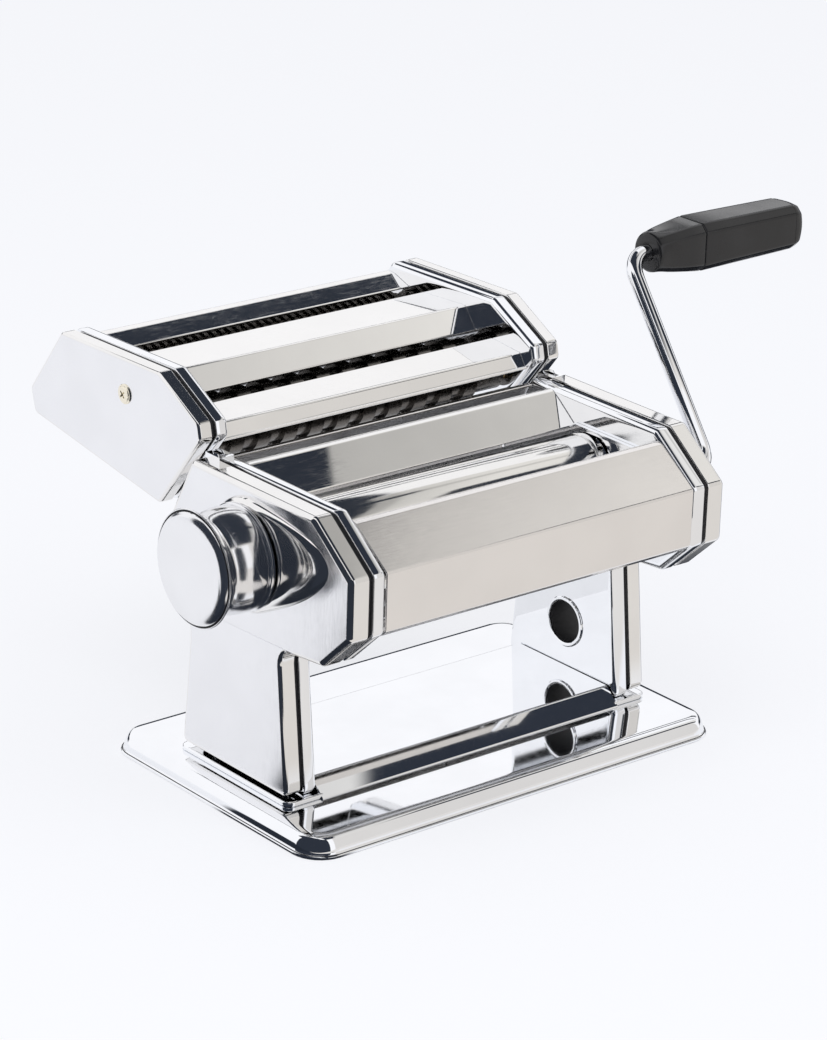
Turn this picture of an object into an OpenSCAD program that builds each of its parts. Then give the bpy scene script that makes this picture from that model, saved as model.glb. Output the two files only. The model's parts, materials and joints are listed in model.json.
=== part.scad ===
// Manual pasta roller machine: a rolling unit with two smooth rollers, a lift-off
// cutter unit with a fine and a wide cutting pair, and a plug-in crank.
// X runs along the rollers (crank at +X), Y to the back, Z up.
// The origin is the middle of the base, on the surface that it stands on.

/* [Rolling unit] */
// Clear width between the two side frames
frame_gap = 152; // [148:1:156]
// Width of each side frame's outward rim
rim_width = 6; // [5.5:0.5:6.5]
// Thickness of the pressed sheet parts
sheet = 1; // [0.8:0.1:1.1]
// Distance from a frame's inner face to the face of its side cover
side_depth = 15; // [15:0.5:16]

/* [Base] */
// Width of the base rim along the rollers
base_width = 206.6; // [206:0.2:212]
// Depth of the base rim from front to back
base_depth = 132.6; // [130:0.2:138]
// Height of the base plate's top
base_height = 8.2; // [7.8:0.1:9]
// Radius of the base's corners
base_corner = 13; // [10:1:18]
// Height of the raised cross plate between the legs
platform_height = 15.2; // [13:0.1:17]

/* [Smooth rollers] */
// Radius of a smooth roller
roller_radius = 14.2; // [13.8:0.1:14.3]
// Gap between the smooth rollers at the narrowest setting
narrowest_gap = 0.6; // [0.5:0.1:0.8]
// How far the knob opens the gap
gap_travel = 2.4; // [2:0.1:2.4]
// Knob angle from the narrowest to the widest setting
knob_turn = 120; // [120:10:120]

/* [Knob] */
// Radius of the knob's rim
knob_radius = 23; // [21.5:0.5:24]
// Radius of the knob's body
knob_body_radius = 20.2; // [19:0.1:21]

/* [Crank] */
// Distance from the crank's axis to the grip's axis
crank_throw = 91.5; // [80:0.5:91.5]
// Angle of the arm back from upright
crank_angle = 36; // [0:1:60]
// Distance of the arm's centre line from the middle of the machine
arm_x = 115; // [113:1:118]
// Length of the grip
grip_length = 80.5; // [76:0.5:90]

/* [Cutter unit] */
// Outer radius of the cutting discs
disc_radius = 9.5; // [9.3:0.1:9.6]
// Pitch of the fine cutting discs, twice the width of a strip
fine_pitch = 4; // [4:1:5]
// Pitch of the wide cutting discs, twice the width of a strip
wide_pitch = 13; // [11:1:14]

/* [Hidden] */
$fn = 64;

// Places along X, measured from the middle
wall = 1.5;
inner_x = frame_gap / 2;
wall_x = inner_x + wall;
rim_x = inner_x + rim_width;
gap_width = 2;
skirt_x = rim_x + gap_width;
face_x = inner_x + side_depth;
cutter_face_x = face_x - 1;
play = 0.1;
panel_x = inner_x - play;

// Side outline of the rolling unit's frames, as points (y, z)
foot_z = base_height + 2;
frame_outline = [[-48, 130.3], [-71.5, 112.5], [-71.5, 88.8], [-55, 73.5], [-38, 72],
    [-27.1, 71.5], [-33.5, foot_z], [33.5, foot_z], [29.5, 56], [30, 68], [43, 88],
    [43, 100], [27, 130.3]];
leg_fillet = 7;
corner_round = 3;
swell_outline = [[-48, 130.3], [-71.5, 112.5], [-71.5, 88.8], [-55, 73.5], [-38, 72], [28, 70],
    [43, 88], [43, 100], [27, 130.3]];
swell_x = face_x + 1.6;

// Side outline of the cutter unit's frames
cutter_outline = [[52, 157.5], [117.5, 156], [139.5, 127], [136.5, 117], [51, 104.5],
    [24.8, 137.5], [26.3, 144]];

// Axes, as (y, z)
front_axis = [-39.5, 104];
rear_axis = front_axis + [2 * roller_radius + narrowest_gap, 0];
gear_pitch_radius = (rear_axis.x - front_axis.x) / 2;
roller_top = front_axis.y + roller_radius;
journal_radius = 6;
running_play = 0.05;
bush_radius = 9;

// Rods that tie the two frames together, as (y, z)
rod_radius = 3;
rod_axes = [[-61.5, 98], [31.5, 98], [-46.5, 78.4], [-1.5, 78.4]];
cutter_rod_axes = [[79, 114.5], [78, 136.3], [126.5, 122.5]];

// Bearing blocks and their windows in the frames
block_half = [9, 8];
tongue_half = 7;
window_play = 0.3;
block_end_x = wall_x + 0.2 + 2.2;
gear_x = block_end_x + 0.7;
gear_width = 4.6;
roller_gear_teeth = 14;

// Adjusting knob and its eccentric spindle
boss_height = 4.7;
boss_x = face_x + boss_height;
boss_seat = 20.5;
boss_foot = 22.5;
boss_tip = 13.6;
boss_tip_axis = [-44.5, 110.4];
eccentric = gap_travel / 2 / sin(knob_turn / 2);
eccentric_pin_radius = 2;
slot_play = 0.25;
slot_y = -gap_travel / 2;
left_block_x = wall_x + 7;
pin_end_x = left_block_x - 3.2;
spindle_radius = 5;
knob_back_x = boss_x + 0.6;
knob_rim_x = boss_x + 22.3;
knob_face_x = boss_x + 24.8;
knob_web = 4;
spindle_end_x = knob_back_x + knob_web + 8;
knob_square = 6;
hub_radius = 10.5;
detent_radius = 15.5;
detent_count = 10;

// Clamp hole in the right leg
clamp_axis = [-1, 33.7];
clamp_radius = 8.8;

// Screws through both feet, as (x, y)
screw_places = [for (x = [-1, 1], y = [-22, 22]) [x * (wall_x + 4.5), y]];
screw_radius = 2;

// Crank
bar_radius = 3.4;
bend_radius = 9;
crank_square = 6.4;
socket_square = 6.8;
grip_axis = front_axis + crank_throw * [sin(crank_angle), cos(crank_angle)];
grip_x = arm_x + 10.5;
grip_seam_x = grip_x + 28.5;
grip_end_x = grip_x + grip_length;
cap_length = 5.5;
nut_x = grip_end_x - cap_length - 4;

// Cutting pairs: axis of each front roller, as (y, z)
pair_spacing = 2 * disc_radius - 1;
wide_axis = [48, 129];
fine_axis = [91.5, 137];
core_radius = disc_radius - 1.6;
disc_play = 0.2;
cutter_half = inner_x - 2;
cutter_journal = 4;
cutter_gear_x = wall_x + 2;
cutter_gear_teeth = 11;
wide_rear_axis = wide_axis + [pair_spacing, 0];
fine_rear_axis = fine_axis + [pair_spacing, 0];
cutter_axes = [wide_axis, wide_rear_axis, fine_axis, fine_rear_axis];
driven_sockets = [wide_axis, fine_rear_axis];
post_axis = [74, 142.6];
tongue_x = [rim_x + 0.3, skirt_x - 0.3];

// Runs a side outline along X from one place to another
module along_x(from, to) {
    translate([from, 0, 0])
        rotate([90, 0, 90])
            linear_extrude(height = to - from)
                children();
}

// A round bar along X with its axis at a (y, z) place
module bar_x(from, to, axis, radius) {
    translate([from, axis.x, axis.y])
        rotate([0, 90, 0])
            cylinder(h = to - from, r = radius);
}

module on_axis(axis) {
    translate([0, axis.x, axis.y])
        children();
}

module left() {
    mirror([1, 0, 0])
        children();
}

module both_sides() {
    children();
    left()
        children();
}

// An outline with rounded corners, moved inwards
module rounded(points, inward = 0, fillet = 0) {
    offset(r = -fillet, $fn = 32)
        offset(r = fillet, $fn = 32)
            offset(delta = -inward)
                offset(r = corner_round, $fn = 32)
                    offset(delta = -corner_round)
                        polygon(points);
}

module body_shape(inward = 0) {
    rounded(frame_outline, inward, leg_fillet);
}

// The part of the cover above the leg, which swells out a little further
module swell_shape(inward = 0) {
    rounded(swell_outline, inward);
}

module cutter_shape(inward = 0) {
    rounded(cutter_outline, inward);
}

// A band of even thickness along a line of (y, z) points, for bent sheet
function unit(v) = v / norm(v);
function left_of(v) = [-v.y, v.x];
function bend_side(p, i) =
    let (
        last = len(p) - 1,
        into = unit(i == 0 ? p[1] - p[0] : p[i] - p[i - 1]),
        out = unit(i == last ? p[last] - p[last - 1] : p[i + 1] - p[i]),
        middle = unit(left_of(into) + left_of(out))
    )
    middle / (middle * left_of(into));
function band(p, t) = concat(
    [for (i = [0 : len(p) - 1]) p[i] + t / 2 * bend_side(p, i)],
    [for (i = [len(p) - 1 : -1 : 0]) p[i] - t / 2 * bend_side(p, i)]);

module bent_sheet(points, half = panel_x) {
    along_x(-half, half)
        polygon(band(points, sheet));
}

// Spur gear outline with slim teeth that stay clear as they turn
module gear_shape(teeth, pitch_radius, addendum, turn = 0) {
    root = pitch_radius - addendum - 0.5;
    tip = pitch_radius + addendum;
    step = 360 / teeth;
    union() {
        circle(r = root);
        for (i = [0 : teeth - 1])
            rotate(turn + i * step)
                polygon([[root - 0.6, -0.27 * step * root * PI / 180],
                    [pitch_radius, -0.19 * step * pitch_radius * PI / 180],
                    [tip, -0.07 * step * tip * PI / 180],
                    [tip, 0.07 * step * tip * PI / 180],
                    [pitch_radius, 0.19 * step * pitch_radius * PI / 180],
                    [root - 0.6, 0.27 * step * root * PI / 180]]);
    }
}

// ---- Base ----

module base_block(height, inward) {
    lip = 1.2;
    taper = 3.7;
    bottom = [base_width - 2 * inward, base_depth - 2 * inward];
    top = bottom - [2 * taper, 2 * taper];
    hull() {
        linear_extrude(height = lip)
            round_plate(bottom, base_corner);
        translate([0, 0, height - 0.4])
            linear_extrude(height = 0.4)
                round_plate(top, base_corner - taper);
    }
}

module round_plate(size, radius) {
    offset(r = radius, $fn = 32)
        square(size - [2 * radius, 2 * radius], center = true);
}

module base_plate() {
    color("gainsboro")
        difference() {
            base_block(base_height, 0);
            translate([0, 0, -2 * sheet])
                base_block(base_height + sheet, sheet);
            screw_holes();
        }
}

module screw_holes() {
    for (place = screw_places)
        translate([place.x, place.y, -1])
            cylinder(h = foot_z + wall + 2, r = screw_radius + 0.2);
}

// Raised plate between the legs, on a flange that shows round both feet
module cross_plate() {
    flange = [2 * (face_x + 0.6), 70];
    half = inner_x - 0.5;
    color("gainsboro")
        difference() {
            union() {
                translate([0, 0, base_height])
                    linear_extrude(height = foot_z - base_height)
                        difference() {
                            round_plate(flange, 4);
                            square([2 * half - 2, flange.y + 2], center = true);
                        }
                along_x(-half, half)
                    polygon([[-35.2, base_height + 0.1], [-28.7, platform_height],
                        [25.7, platform_height], [32.2, base_height + 0.1]]);
            }
            translate([0, 0, -0.1])
                along_x(-half + sheet, half - sheet)
                    polygon([[-34, base_height], [-28.2, platform_height - sheet],
                        [25.2, platform_height - sheet], [31, base_height]]);
            screw_holes();
        }
}

module base_screws() {
    color("silver")
        for (place = screw_places)
            translate([place.x, place.y, 0]) {
                translate([0, 0, base_height - sheet - 2.4])
                    cylinder(h = 2.4, r = 3.8);
                translate([0, 0, base_height - sheet - 0.2])
                    cylinder(h = foot_z + wall + 3.4 - base_height + sheet, r = screw_radius);
            }
}

module base_nuts() {
    nut_height = 2.8;
    color("silver")
        for (place = screw_places)
            translate([place.x, place.y, foot_z + wall])
                difference() {
                    cylinder(h = nut_height, r = 3.6, $fn = 6);
                    translate([0, 0, -1])
                        cylinder(h = nut_height + 2, r = screw_radius + 0.05);
                }
}

// ---- Frames and covers of the rolling unit, drawn for the right side ----

module rear_window() {
    width = 2 * tongue_half + gap_travel + 2 * window_play;
    height = 2 * tongue_half + 2 * window_play;
    along_x(inner_x - 1, wall_x + 1)
        translate(rear_axis + [-tongue_half - window_play, -height / 2])
            square([width, height]);
}

module side_frame() {
    difference() {
        union() {
            along_x(inner_x, wall_x)
                body_shape();
            along_x(inner_x, rim_x)
                difference() {
                    body_shape();
                    body_shape(sheet);
                }
            translate([inner_x, -27.5, foot_z])
                cube([10.5, 55, wall]);
        }
        rear_window();
        bar_x(inner_x - 1, wall_x + 1, front_axis, bush_radius);
        for (axis = rod_axes)
            bar_x(inner_x - 1, wall_x + 1, axis, 1.7);
        screw_holes();
    }
}

// Room in a cover's neck for the hook tongue
module tongue_room() {
    along_x(tongue_x[0] - 0.3, skirt_x)
        polygon([[17.5, 117], [28, 117], [28, 131], [40, 134.5], [40, 147], [17.5, 147]]);
}

// Pressed cover: a neck that meets the frame, a skirt, a stepped edge and the face
module cover_shell(end, neck_foot) {
    neck_wall = 1.2;
    difference() {
        union() {
            along_x(skirt_x, end - 2.4)
                children(0);
            along_x(skirt_x, end - 1)
                children(1);
            along_x(skirt_x, end)
                children(2);
            along_x(wall_x, skirt_x + 1)
                children(1);
        }
        along_x(wall_x - 1, end - 1.4)
            children(3);
        translate([0, -100, 0])
            cube([end - 1.4, 250, neck_foot]);
        tongue_room();
    }
}

module side_cover() {
    cover_foot = foot_z + 1.5;
    difference() {
        union() {
            cover_shell(face_x, foot_z + wall + 1) {
                body_shape();
                body_shape(1);
                body_shape(2.8);
                body_shape(2.2);
            }
            along_x(face_x - 2.4, swell_x - 2.4)
                swell_shape();
            along_x(face_x - 1.4, swell_x - 1)
                swell_shape(1);
            along_x(face_x - 1.4, swell_x)
                swell_shape(2.8);
        }
        along_x(face_x - 2, swell_x - 1.4)
            swell_shape(4.4);
        translate([wall_x - 1, -60, 0])
            cube([side_depth + 4, 120, cover_foot]);
    }
}

module left_side_frame() {
    color("whitesmoke")
        left()
            side_frame();
}

module right_side_frame() {
    color("whitesmoke")
        difference() {
            side_frame();
            bar_x(inner_x - 1, wall_x + 1, clamp_axis, clamp_radius + 1);
        }
}

// Raised boss: a round seat for the knob that slopes down to a narrower round end in front
module boss(inward) {
    hull() {
        bar_x(swell_x - 0.6, swell_x, rear_axis, boss_foot - inward, $fn = 32);
        bar_x(swell_x - 0.6, swell_x, boss_tip_axis, boss_tip - inward, $fn = 32);
        bar_x(swell_x, boss_x - inward, rear_axis, boss_seat - inward, $fn = 32);
    }
}

module left_side_cover() {
    color("silver")
        left()
            difference() {
                union() {
                    side_cover();
                    boss(0);
                }
                boss(1.5);
                along_x(swell_x - 2, swell_x - 0.5)
                    boss_hollow();
                bar_x(face_x - 3, boss_x + 1, rear_axis, spindle_radius + 0.3);
                for (i = [0 : detent_count - 1])
                    on_axis(rear_axis)
                        rotate([i * 360 / detent_count, 0, 0])
                            bar_x(face_x - 1, boss_x + 1, [0, detent_radius], 1.8);
            }
}

module boss_hollow() {
    for (end = [[rear_axis, boss_foot], [boss_tip_axis, boss_tip]])
        translate(end[0])
            circle(r = end[1] - 2.5);
}

module right_side_cover() {
    color("silver")
        difference() {
            side_cover();
            bar_x(face_x - 3, face_x + 2, front_axis, journal_radius + 0.4);
            bar_x(face_x - 3, face_x + 1, clamp_axis, clamp_radius + 1);
        }
}

// Lipped tube through the right leg, for the rod of a table clamp
module clamp_socket() {
    lip = 0.8;
    color("gainsboro")
        difference() {
            union() {
                bar_x(inner_x - lip, face_x + lip, clamp_axis, clamp_radius + 0.95);
                bar_x(inner_x - lip, inner_x, clamp_axis, clamp_radius + 1.9);
                bar_x(face_x, face_x + lip, clamp_axis, clamp_radius + 1.9);
            }
            bar_x(inner_x - 2, face_x + 2, clamp_axis, clamp_radius);
        }
}

// ---- Sheet parts between the frames ----

module front_panel() {
    color("lightgray")
        bent_sheet([[-46.6, 118], [-48.6, 125], [-50.2, 125.9], [-52.2, 125.2],
            [-70.9, 112.1], [-70.9, 89.4], [-67, 86.5]]);
}

module rear_panel() {
    color("lightgray")
        bent_sheet([[25, 128], [27, 128.2], [42.2, 99.9], [42.2, 88.6], [38.5, 86]]);
}

module hopper_rear_plate() {
    color("lightgray")
        bent_sheet([[-1.3, 118.4], [12.4, 128.9], [14.3, 129.4], [15.8, 128.6], [16, 126]]);
}

// Strips over the ends of the rollers that keep the dough off the bearings
module end_guides() {
    color("gainsboro")
        both_sides()
            translate([panel_x - 2, -44, roller_top + 0.5])
                cube([2, 41.5, 1.4]);
}

module scraper(foot) {
    tip = [0, -roller_radius - 0.9];
    along_x(-panel_x, panel_x)
        polygon(band([tip, foot], 0.8));
}

module front_scraper() {
    color("lightsteelblue")
        on_axis(front_axis)
            scraper([-6.5, -22.1]);
}

module rear_scraper() {
    color("lightsteelblue")
        on_axis(rear_axis)
            scraper([8.5, -22.1]);
}

module threaded_rods(axes) {
    difference() {
        for (axis = axes)
            bar_x(-inner_x, inner_x, axis, rod_radius);
        both_sides()
            for (axis = axes)
                bar_x(inner_x - 9, inner_x + 1, axis, 1.55);
    }
}

module rod_screws(axes) {
    both_sides()
        for (axis = axes) {
            bar_x(wall_x, wall_x + 1.6, axis, 3.2);
            bar_x(inner_x - 8, wall_x + 0.5, axis, 1.5);
        }
}

module tie_rods() {
    color("gray")
        threaded_rods(rod_axes);
}

module tie_rod_screws() {
    color("silver")
        rod_screws(rod_axes);
}

// Loops on the rear top corners that take the cutter unit's hook tongues
module hook_loops() {
    middle = (rim_x + skirt_x) / 2;
    color("gainsboro")
        both_sides()
            difference() {
                translate([middle - 3.4, 17.3, frame_outline[0].y])
                    cube([6.8, 9, 2.2]);
                translate([tongue_x[0] - 0.4, 18.3, frame_outline[0].y - 1])
                    cube([tongue_x[1] - tongue_x[0] + 0.8, 7, 4]);
            }
}

// ---- Smooth rollers ----

module roller_bush() {
    difference() {
        union() {
            bar_x(inner_x, wall_x + 0.5, front_axis, bush_radius - 0.02);
            bar_x(wall_x, block_end_x, front_axis, bush_radius + 1.8);
        }
        bar_x(inner_x - 1, block_end_x + 1, front_axis, journal_radius + running_play);
    }
}

module left_roller_bush() {
    color("goldenrod")
        left()
            roller_bush();
}

module right_roller_bush() {
    color("goldenrod")
        roller_bush();
}

module roller_barrel(axis) {
    groove_x = inner_x - 6;
    difference() {
        bar_x(-inner_x + 0.5, inner_x - 0.5, axis, roller_radius);
        bar_x(-inner_x + 9, inner_x - 9, axis, roller_radius - 2.5);
        both_sides()
            on_axis(axis)
                translate([groove_x, 0, 0])
                    rotate([0, 90, 0])
                        difference() {
                            cylinder(h = 0.6, r = roller_radius + 1);
                            translate([0, 0, -1])
                                cylinder(h = 3, r = roller_radius - 0.3);
                        }
    }
}

module front_roller() {
    color("silver")
        difference() {
            union() {
                roller_barrel(front_axis);
                bar_x(-block_end_x - 1, -inner_x + 8, front_axis, journal_radius);
                bar_x(inner_x - 8, face_x + 1.6, front_axis, journal_radius);
            }
            translate([wall_x, front_axis.x - socket_square / 2, front_axis.y - socket_square / 2])
                cube([side_depth + 5, socket_square, socket_square]);
        }
}

module rear_roller() {
    color("silver") {
        roller_barrel(rear_axis);
        bar_x(-block_end_x + 0.3, -inner_x + 8, rear_axis, journal_radius);
        bar_x(inner_x - 8, gear_x + gear_width, rear_axis, journal_radius);
    }
}

module roller_gear(axis, turn) {
    addendum = 1.9;
    along_x(gear_x, gear_x + gear_width)
        translate(axis)
            difference() {
                gear_shape(roller_gear_teeth, gear_pitch_radius, addendum, turn);
                circle(r = journal_radius + 0.01);
            }
}

module front_roller_gear() {
    color("dimgray")
        roller_gear(front_axis, 0);
}

module rear_roller_gear() {
    color("dimgray")
        roller_gear(rear_axis, 180 / roller_gear_teeth);
}

module block_body(end) {
    translate([wall_x + 0.2, rear_axis.x - block_half.x, rear_axis.y - block_half.y])
        cube([end - wall_x - 0.2, 2 * block_half.x, 2 * block_half.y]);
    translate([inner_x, rear_axis.x - tongue_half, rear_axis.y - tongue_half])
        cube([wall + 1, 2 * tongue_half, 2 * tongue_half]);
}

module left_bearing_block() {
    slot = eccentric_pin_radius + slot_play;
    color("goldenrod")
        left()
            difference() {
                block_body(left_block_x);
                bar_x(inner_x - 1, block_end_x + 0.5, rear_axis, journal_radius + running_play);
                translate([pin_end_x - 0.5, rear_axis.x + slot_y - slot, rear_axis.y - 6])
                    cube([10, 2 * slot, 12]);
            }
}

module right_bearing_block() {
    color("goldenrod")
        difference() {
            block_body(block_end_x);
            bar_x(inner_x - 1, block_end_x + 1, rear_axis, journal_radius + running_play);
        }
}

// ---- Thickness knob ----

module adjuster_spindle() {
    start = -knob_turn / 2;
    pin = rear_axis + eccentric * [sin(start), cos(start)];
    color("darkgray")
        left()
            difference() {
                union() {
                    bar_x(pin_end_x, left_block_x + 1, pin, eccentric_pin_radius);
                    bar_x(left_block_x + 0.4, left_block_x + 2.4, rear_axis, 7);
                    bar_x(left_block_x + 2, knob_back_x - 0.4, rear_axis, spindle_radius);
                    on_axis(rear_axis)
                        translate([knob_back_x - 0.8, -knob_square / 2, -knob_square / 2])
                            cube([spindle_end_x - knob_back_x + 0.8, knob_square, knob_square]);
                }
                bar_x(spindle_end_x - 6, spindle_end_x + 1, rear_axis, 1.55);
            }
}

// Pan-head screw and washer that hold the spring on the spindle
module spindle_screw() {
    color("silver")
        left() {
            bar_x(spindle_end_x, spindle_end_x + 0.8, rear_axis, 7.5);
            bar_x(spindle_end_x + 0.8, spindle_end_x + 2.6, rear_axis, 3.2);
            bar_x(spindle_end_x - 5, spindle_end_x + 1, rear_axis, 1.5);
        }
}

// Compression spring, drawn as its stacked turns at the length it has when compressed
module knob_spring() {
    turns = 3;
    wire = 1.1;
    color("gray")
        left()
            translate([spindle_end_x - turns * wire, rear_axis.x, rear_axis.y])
                rotate([0, 90, 0])
                    for (i = [0 : turns - 1])
                        translate([0, 0, i * wire])
                            difference() {
                                cylinder(h = wire, r = 6.8);
                                translate([0, 0, -1])
                                    cylinder(h = wire + 2, r = 5.4);
                            }
}

// Turns a profile of (radius, distance outwards) points about the knob's axis
module knob_turned() {
    left()
        translate([0, rear_axis.x, rear_axis.y])
            rotate([0, 90, 0])
                rotate_extrude($fn = 96)
                    children();
}

module knob_body() {
    waist_x = knob_rim_x - 4.5;
    waist = knob_body_radius - 1.7;
    color("gainsboro")
        difference() {
            knob_turned()
                polygon([[0, knob_back_x], [knob_body_radius + 0.8, knob_back_x],
                    [knob_body_radius + 0.8, knob_back_x + 1.6],
                    [knob_body_radius - 0.2, knob_back_x + 2.1],
                    [knob_body_radius + 0.3, knob_back_x + 6],
                    [knob_body_radius, knob_back_x + 10],
                    [knob_body_radius - 0.8, knob_back_x + 13],
                    [waist, waist_x - 1.5], [waist, waist_x],
                    [waist + 2.5, knob_rim_x - 2.5], [waist + 3.3, knob_rim_x],
                    [waist - 1.5, knob_rim_x],
                    [waist - 1.5, knob_back_x + knob_web],
                    [hub_radius, knob_back_x + knob_web], [hub_radius, spindle_end_x - 1],
                    [hub_radius - 2, spindle_end_x - 1], [hub_radius - 2, knob_back_x + knob_web],
                    [0, knob_back_x + knob_web]]);
            left()
                on_axis(rear_axis)
                    translate([knob_back_x - 1, -knob_square / 2 - play, -knob_square / 2 - play])
                        cube([knob_web + 2, knob_square + 2 * play, knob_square + 2 * play]);
            left()
                bar_x(knob_back_x - 1, knob_back_x + 2, rear_axis + [0, detent_radius], 1.45);
        }
}

module knob_cap() {
    rim = 1.6;
    color("whitesmoke")
        knob_turned()
            polygon([[0, knob_face_x], [knob_radius - 4, knob_face_x - 0.2],
                [knob_radius - 1.6, knob_face_x - 0.9], [knob_radius - 0.6, knob_rim_x + rim],
                [knob_radius, knob_rim_x + rim - 0.3], [knob_radius, knob_rim_x + 0.3],
                [knob_radius - 0.4, knob_rim_x], [knob_body_radius - 3.4, knob_rim_x],
                [knob_body_radius - 3.4, knob_rim_x + 1], [0, knob_rim_x + 1]]);
}

// Pin in the knob's back that stands just clear of its ring of holes in the boss
module index_pin() {
    color("silver")
        left()
            bar_x(boss_x + 0.3, knob_back_x + 1.8, rear_axis + [0, detent_radius], 1.4);
}

// ---- Crank ----

// A round bend in the crank's bar, from along X to along the arm or back
module bar_bend() {
    rotate_extrude(angle = 90, $fn = 64)
        translate([bend_radius, 0])
            circle(r = bar_radius, $fn = 48);
}

module crank_arm() {
    shoulder_x = face_x + 2;
    square_x = wall_x + 2;
    color("silver")
        on_axis(front_axis) {
            translate([square_x, -crank_square / 2, -crank_square / 2])
                cube([shoulder_x - square_x + 0.5, crank_square, crank_square]);
            bar_x(shoulder_x, shoulder_x + 2, [0, 0], 5.2);
            bar_x(shoulder_x + 1, arm_x - bend_radius, [0, 0], bar_radius);
            rotate([-crank_angle, 0, 0]) {
                translate([arm_x - bend_radius, 0, bend_radius])
                    rotate([90, 0, 0])
                        rotate(-90)
                            bar_bend();
                translate([arm_x, 0, bend_radius])
                    cylinder(h = crank_throw - 2 * bend_radius, r = bar_radius, $fn = 48);
                translate([arm_x + bend_radius, 0, crank_throw - bend_radius])
                    rotate([90, 0, 0])
                        rotate(90)
                            bar_bend();
                bar_x(arm_x + bend_radius, nut_x + 2, [0, crank_throw], bar_radius);
            }
        }
}

module grip_push_nut() {
    color("gray")
        difference() {
            bar_x(nut_x, nut_x + 1, grip_axis, 6);
            bar_x(nut_x - 1, nut_x + 2, grip_axis, bar_radius);
        }
}

module crank_grip() {
    color("black")
        difference() {
            union() {
                hull() {
                    bar_x(grip_x, grip_x + 1, grip_axis, 8.5, $fn = 32);
                    octagon_bar(grip_seam_x - 1, grip_seam_x, 12);
                }
                hull() {
                    octagon_bar(grip_seam_x - 0.5, grip_seam_x, 12);
                    octagon_bar(grip_end_x - cap_length - 0.5, grip_end_x - cap_length, 11.2);
                }
            }
            bar_x(grip_x - 1, nut_x, grip_axis, bar_radius + running_play);
            bar_x(nut_x - 0.4, grip_end_x, grip_axis, 6.4);
        }
}

module octagon_bar(from, to, radius) {
    on_axis(grip_axis)
        along_x(from, to)
            rotate(22.5)
                circle(r = radius, $fn = 8);
}

module grip_end_cap() {
    start = grip_end_x - cap_length;
    color("black") {
        hull() {
            octagon_bar(start, start + 2.5, 11.15);
            octagon_bar(grip_end_x - 0.5, grip_end_x, 7.5);
        }
        bar_x(start - 0.8, start + 0.5, grip_axis, 6.35);
    }
}

// ---- Cutter unit, drawn for the right side ----

module cutter_frame() {
    difference() {
        union() {
            along_x(inner_x, wall_x)
                cutter_shape();
            along_x(inner_x, rim_x)
                difference() {
                    cutter_shape();
                    cutter_shape(sheet);
                }
            hook_tongue();
        }
        for (axis = cutter_axes)
            bar_x(inner_x - 1, wall_x + 1, axis, cutter_journal + 1.52);
        for (axis = cutter_rod_axes)
            bar_x(inner_x - 1, wall_x + 1, axis, 1.7);
        bar_x(inner_x - 1, wall_x + 1, post_axis, 1.6);
    }
}

// Flat tongue in the gap between rim and cover, joined to the frame's wall
module hook_tongue() {
    along_x(tongue_x[0], tongue_x[1])
        polygon([[19, 120], [24.6, 120], [24.6, 133], [38, 137.5], [38, 143.5], [27.5, 143.5],
            [19, 136.5]]);
    along_x(wall_x - 0.5, tongue_x[1])
        translate([32, 138.3])
            square([6, 5.2]);
}

module cutter_cover() {
    difference() {
        cover_shell(cutter_face_x, 0) {
            cutter_shape();
            cutter_shape(1);
            cutter_shape(2.8);
            cutter_shape(2.2);
        }
        bar_x(cutter_face_x - 3, cutter_face_x + 1, post_axis, 1.7);
    }
}

module cutter_left_frame() {
    color("whitesmoke")
        left()
            cutter_frame();
}

module cutter_right_frame() {
    color("whitesmoke")
        cutter_frame();
}

module cutter_left_cover() {
    color("silver")
        left()
            cutter_cover();
}

// Holes in the right cover let the crank into the two driven cutting rollers
module cutter_right_cover() {
    color("silver")
        difference() {
            cutter_cover();
            for (axis = driven_sockets)
                bar_x(cutter_face_x - 3, cutter_face_x + 1, axis, 6.2);
        }
}

module cutter_rear_plate() {
    color("lightgray")
        bent_sheet([[105.5, 148.4], [114.9, 151.6], [116.7, 152.7], [118.4, 151.9],
            [137.8, 127.4], [135.6, 119.5]]);
}

module cutter_centre_plate() {
    color("lightgray")
        bent_sheet([[95.6, 148.2], [68.8, 149.7], [62, 141.4]]);
}

module cutter_front_plate() {
    color("lightgray")
        bent_sheet([[50.8, 140.4], [33.8, 139], [30.5, 133.6], [28.6, 134.4]]);
}

module cutter_tie_rods() {
    color("gray")
        threaded_rods(cutter_rod_axes);
}

module cutter_rod_screws() {
    color("silver")
        rod_screws(cutter_rod_axes);
}

// Posts that carry the cutter covers, one on each side
module cutter_posts() {
    color("silver")
        both_sides()
            difference() {
                bar_x(wall_x, cutter_face_x - 1.4, post_axis, 3.5);
                bar_x(wall_x + 3, cutter_face_x, post_axis, 1.55);
            }
}

// Cross-headed screw in each cutter cover
module cutter_cover_screws() {
    color("goldenrod")
        both_sides()
            difference() {
                union() {
                    bar_x(cutter_face_x, cutter_face_x + 0.6, post_axis, 4);
                    bar_x(cutter_face_x, cutter_face_x + 1.3, post_axis, 3.2);
                    bar_x(wall_x + 4, cutter_face_x + 0.3, post_axis, 1.5);
                }
                on_axis(post_axis)
                    for (turn = [0, 90])
                        rotate([turn, 0, 0])
                            translate([cutter_face_x + 0.5, -1.9, -0.4])
                                cube([2, 3.8, 0.8]);
            }
}

module cutter_bushes() {
    color("goldenrod")
        both_sides()
            difference() {
                for (axis = cutter_axes) {
                    bar_x(inner_x - 0.6, wall_x + 0.2, axis, cutter_journal + 1.5);
                    bar_x(wall_x, wall_x + 1, axis, cutter_journal + 2.6);
                }
                for (axis = cutter_axes)
                    bar_x(inner_x - 2, wall_x + 2, axis, cutter_journal + running_play);
            }
}

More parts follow.
